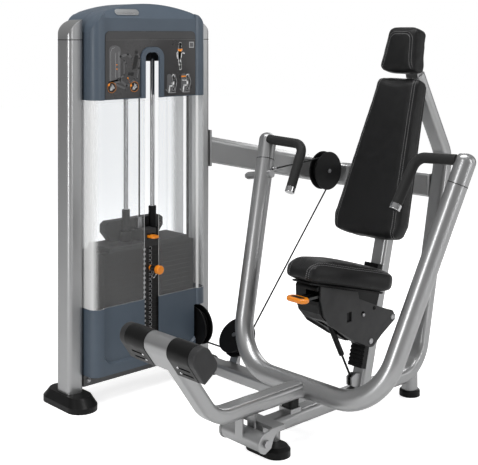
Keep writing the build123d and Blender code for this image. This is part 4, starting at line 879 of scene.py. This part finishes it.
CABLE_R, CABLE_STEPS = 0.0032, 60
stretching_cable("stack_cable", "cable_stack_run", 2)
pulley_end, yoke_end = stretching_cable("arm_cable", "cable_arm_run", 1)
ferrule = Build()
ferrule_profile = [(0, 0.0055), (0.018, 0.0055), (0.022, 0.0045), (0.024, CABLE_R)]
ferrule.lathe(yoke_end, pulley_end - yoke_end, ferrule_profile, 20)
ferrule.make("cable_ferrule", "brushed_steel", "press_arm", "brushed_steel")

# ---------------------------------------------------------------- floor, light and camera
floor_mesh = bpy.data.meshes.new("floor")
floor_mesh.from_pydata([(-14, -14, 0), (14, -14, 0), (14, 14, 0), (-14, 14, 0)], [], [(0, 1, 2, 3)])
floor = add_object("floor", floor_mesh)
floor_look = bpy.data.materials.new("floor")
floor_look.use_nodes = True
floor_tree = floor_look.node_tree
floor_shader = floor_tree.nodes["Principled BSDF"]
for socket, value in (("Base Color", (0.93, 0.93, 0.93, 1)), ("Roughness", 0.9),
                      ("Specular IOR Level", 0.1), ("Emission Color", (1, 1, 1, 1))):
    floor_shader.inputs[socket].default_value = value
seen = add_node(floor_tree, "ShaderNodeLightPath").outputs["Is Camera Ray"]
floor_glow = ramp(floor_tree, seen, 0.0, 1.0, 0.05, 0.72)
floor_tree.links.new(floor_glow, floor_shader.inputs["Emission Strength"])
floor_mesh.materials.append(floor_look)

world = bpy.data.worlds.new("studio")
bpy.context.scene.world = world
world.use_nodes = True
sky = world.node_tree
sky.nodes.clear()
ray = add_node(sky, "ShaderNodeLightPath").outputs["Is Camera Ray"]
sky_dir = add_node(sky, "ShaderNodeNewGeometry").outputs["Incoming"]
height = add_node(sky, "ShaderNodeSeparateXYZ", None, {0: sky_dir}).outputs[2]
glow = ramp(sky, height, 0.25, -0.85, 0.14, 0.38)
tone = add_node(sky, "ShaderNodeCombineColor", None, {0: glow, 1: glow, 2: glow}).outputs[0]
room = add_node(sky, "ShaderNodeBackground", None, {"Color": tone, "Strength": 1.0}).outputs[0]
white_room = add_node(sky, "ShaderNodeBackground", None, {"Color": (1, 1, 1, 1), "Strength": 1.0}).outputs[0]
sky_mix = add_node(sky, "ShaderNodeMixShader", None, {0: ray, 1: room, 2: white_room}).outputs[0]
sky_out = add_node(sky, "ShaderNodeOutputWorld")
sky.links.new(sky_mix, sky_out.inputs[0])


def soft_light(name, place, target, size, power):
    light = bpy.data.lights.new(name, "AREA")
    light.shape = "RECTANGLE"
    light.size, light.size_y = size
    light.energy = power
    obj = add_object(name, light)
    obj.location = place
    obj.rotation_euler = (Vector(target) - Vector(place)).to_track_quat("-Z", "Y").to_euler()


soft_light("strip_left", (0.35, -4.4, 1.5), (-0.1, 0.2, 0.8), (0.45, 3.4), 72)
soft_light("strip_right", (4.6, 1.0, 1.7), (-0.1, 0.3, 0.8), (0.5, 3.2), 36)
soft_light("fill_right", (3.2, 4.0, 1.8), (-0.2, 0.3, 0.7), (2.6, 2.6), 24)
soft_light("overhead", (0.0, -0.1, 3.7), (-0.2, 0.3, 0.4), (2.8, 0.9), 62)
soft_light("rear", (-1.8, 3.6, 2.4), (-0.2, 0.3, 0.8), (1.2, 2.4), 26)

# upright lines stay parallel: the camera's own axis looks down while its picture plane stays vertical
ahead, up = Vector((-0.7318, 0.6815, 0.0)), Vector((0.0, 0.0, 1.0))
LOOK_DOWN, LENS = 0.199, 75.12
aim = ahead - up * LOOK_DOWN
camera_data = bpy.data.cameras.new("camera")
camera_data.lens = LENS * aim.length
camera_data.sensor_width = 36.0
camera, camera_rig = add_object("camera", camera_data), add_object("camera_rig", None)
camera_axes = Matrix((ahead.cross(up), up, -aim.normalized())).transposed().to_4x4()
camera.parent = camera_rig
camera.matrix_parent_inverse = Matrix.Translation((2.35, -2.32, 1.38)) @ camera_axes
bpy.context.scene.camera = camera
bpy.context.scene.view_settings.view_transform = "Standard"
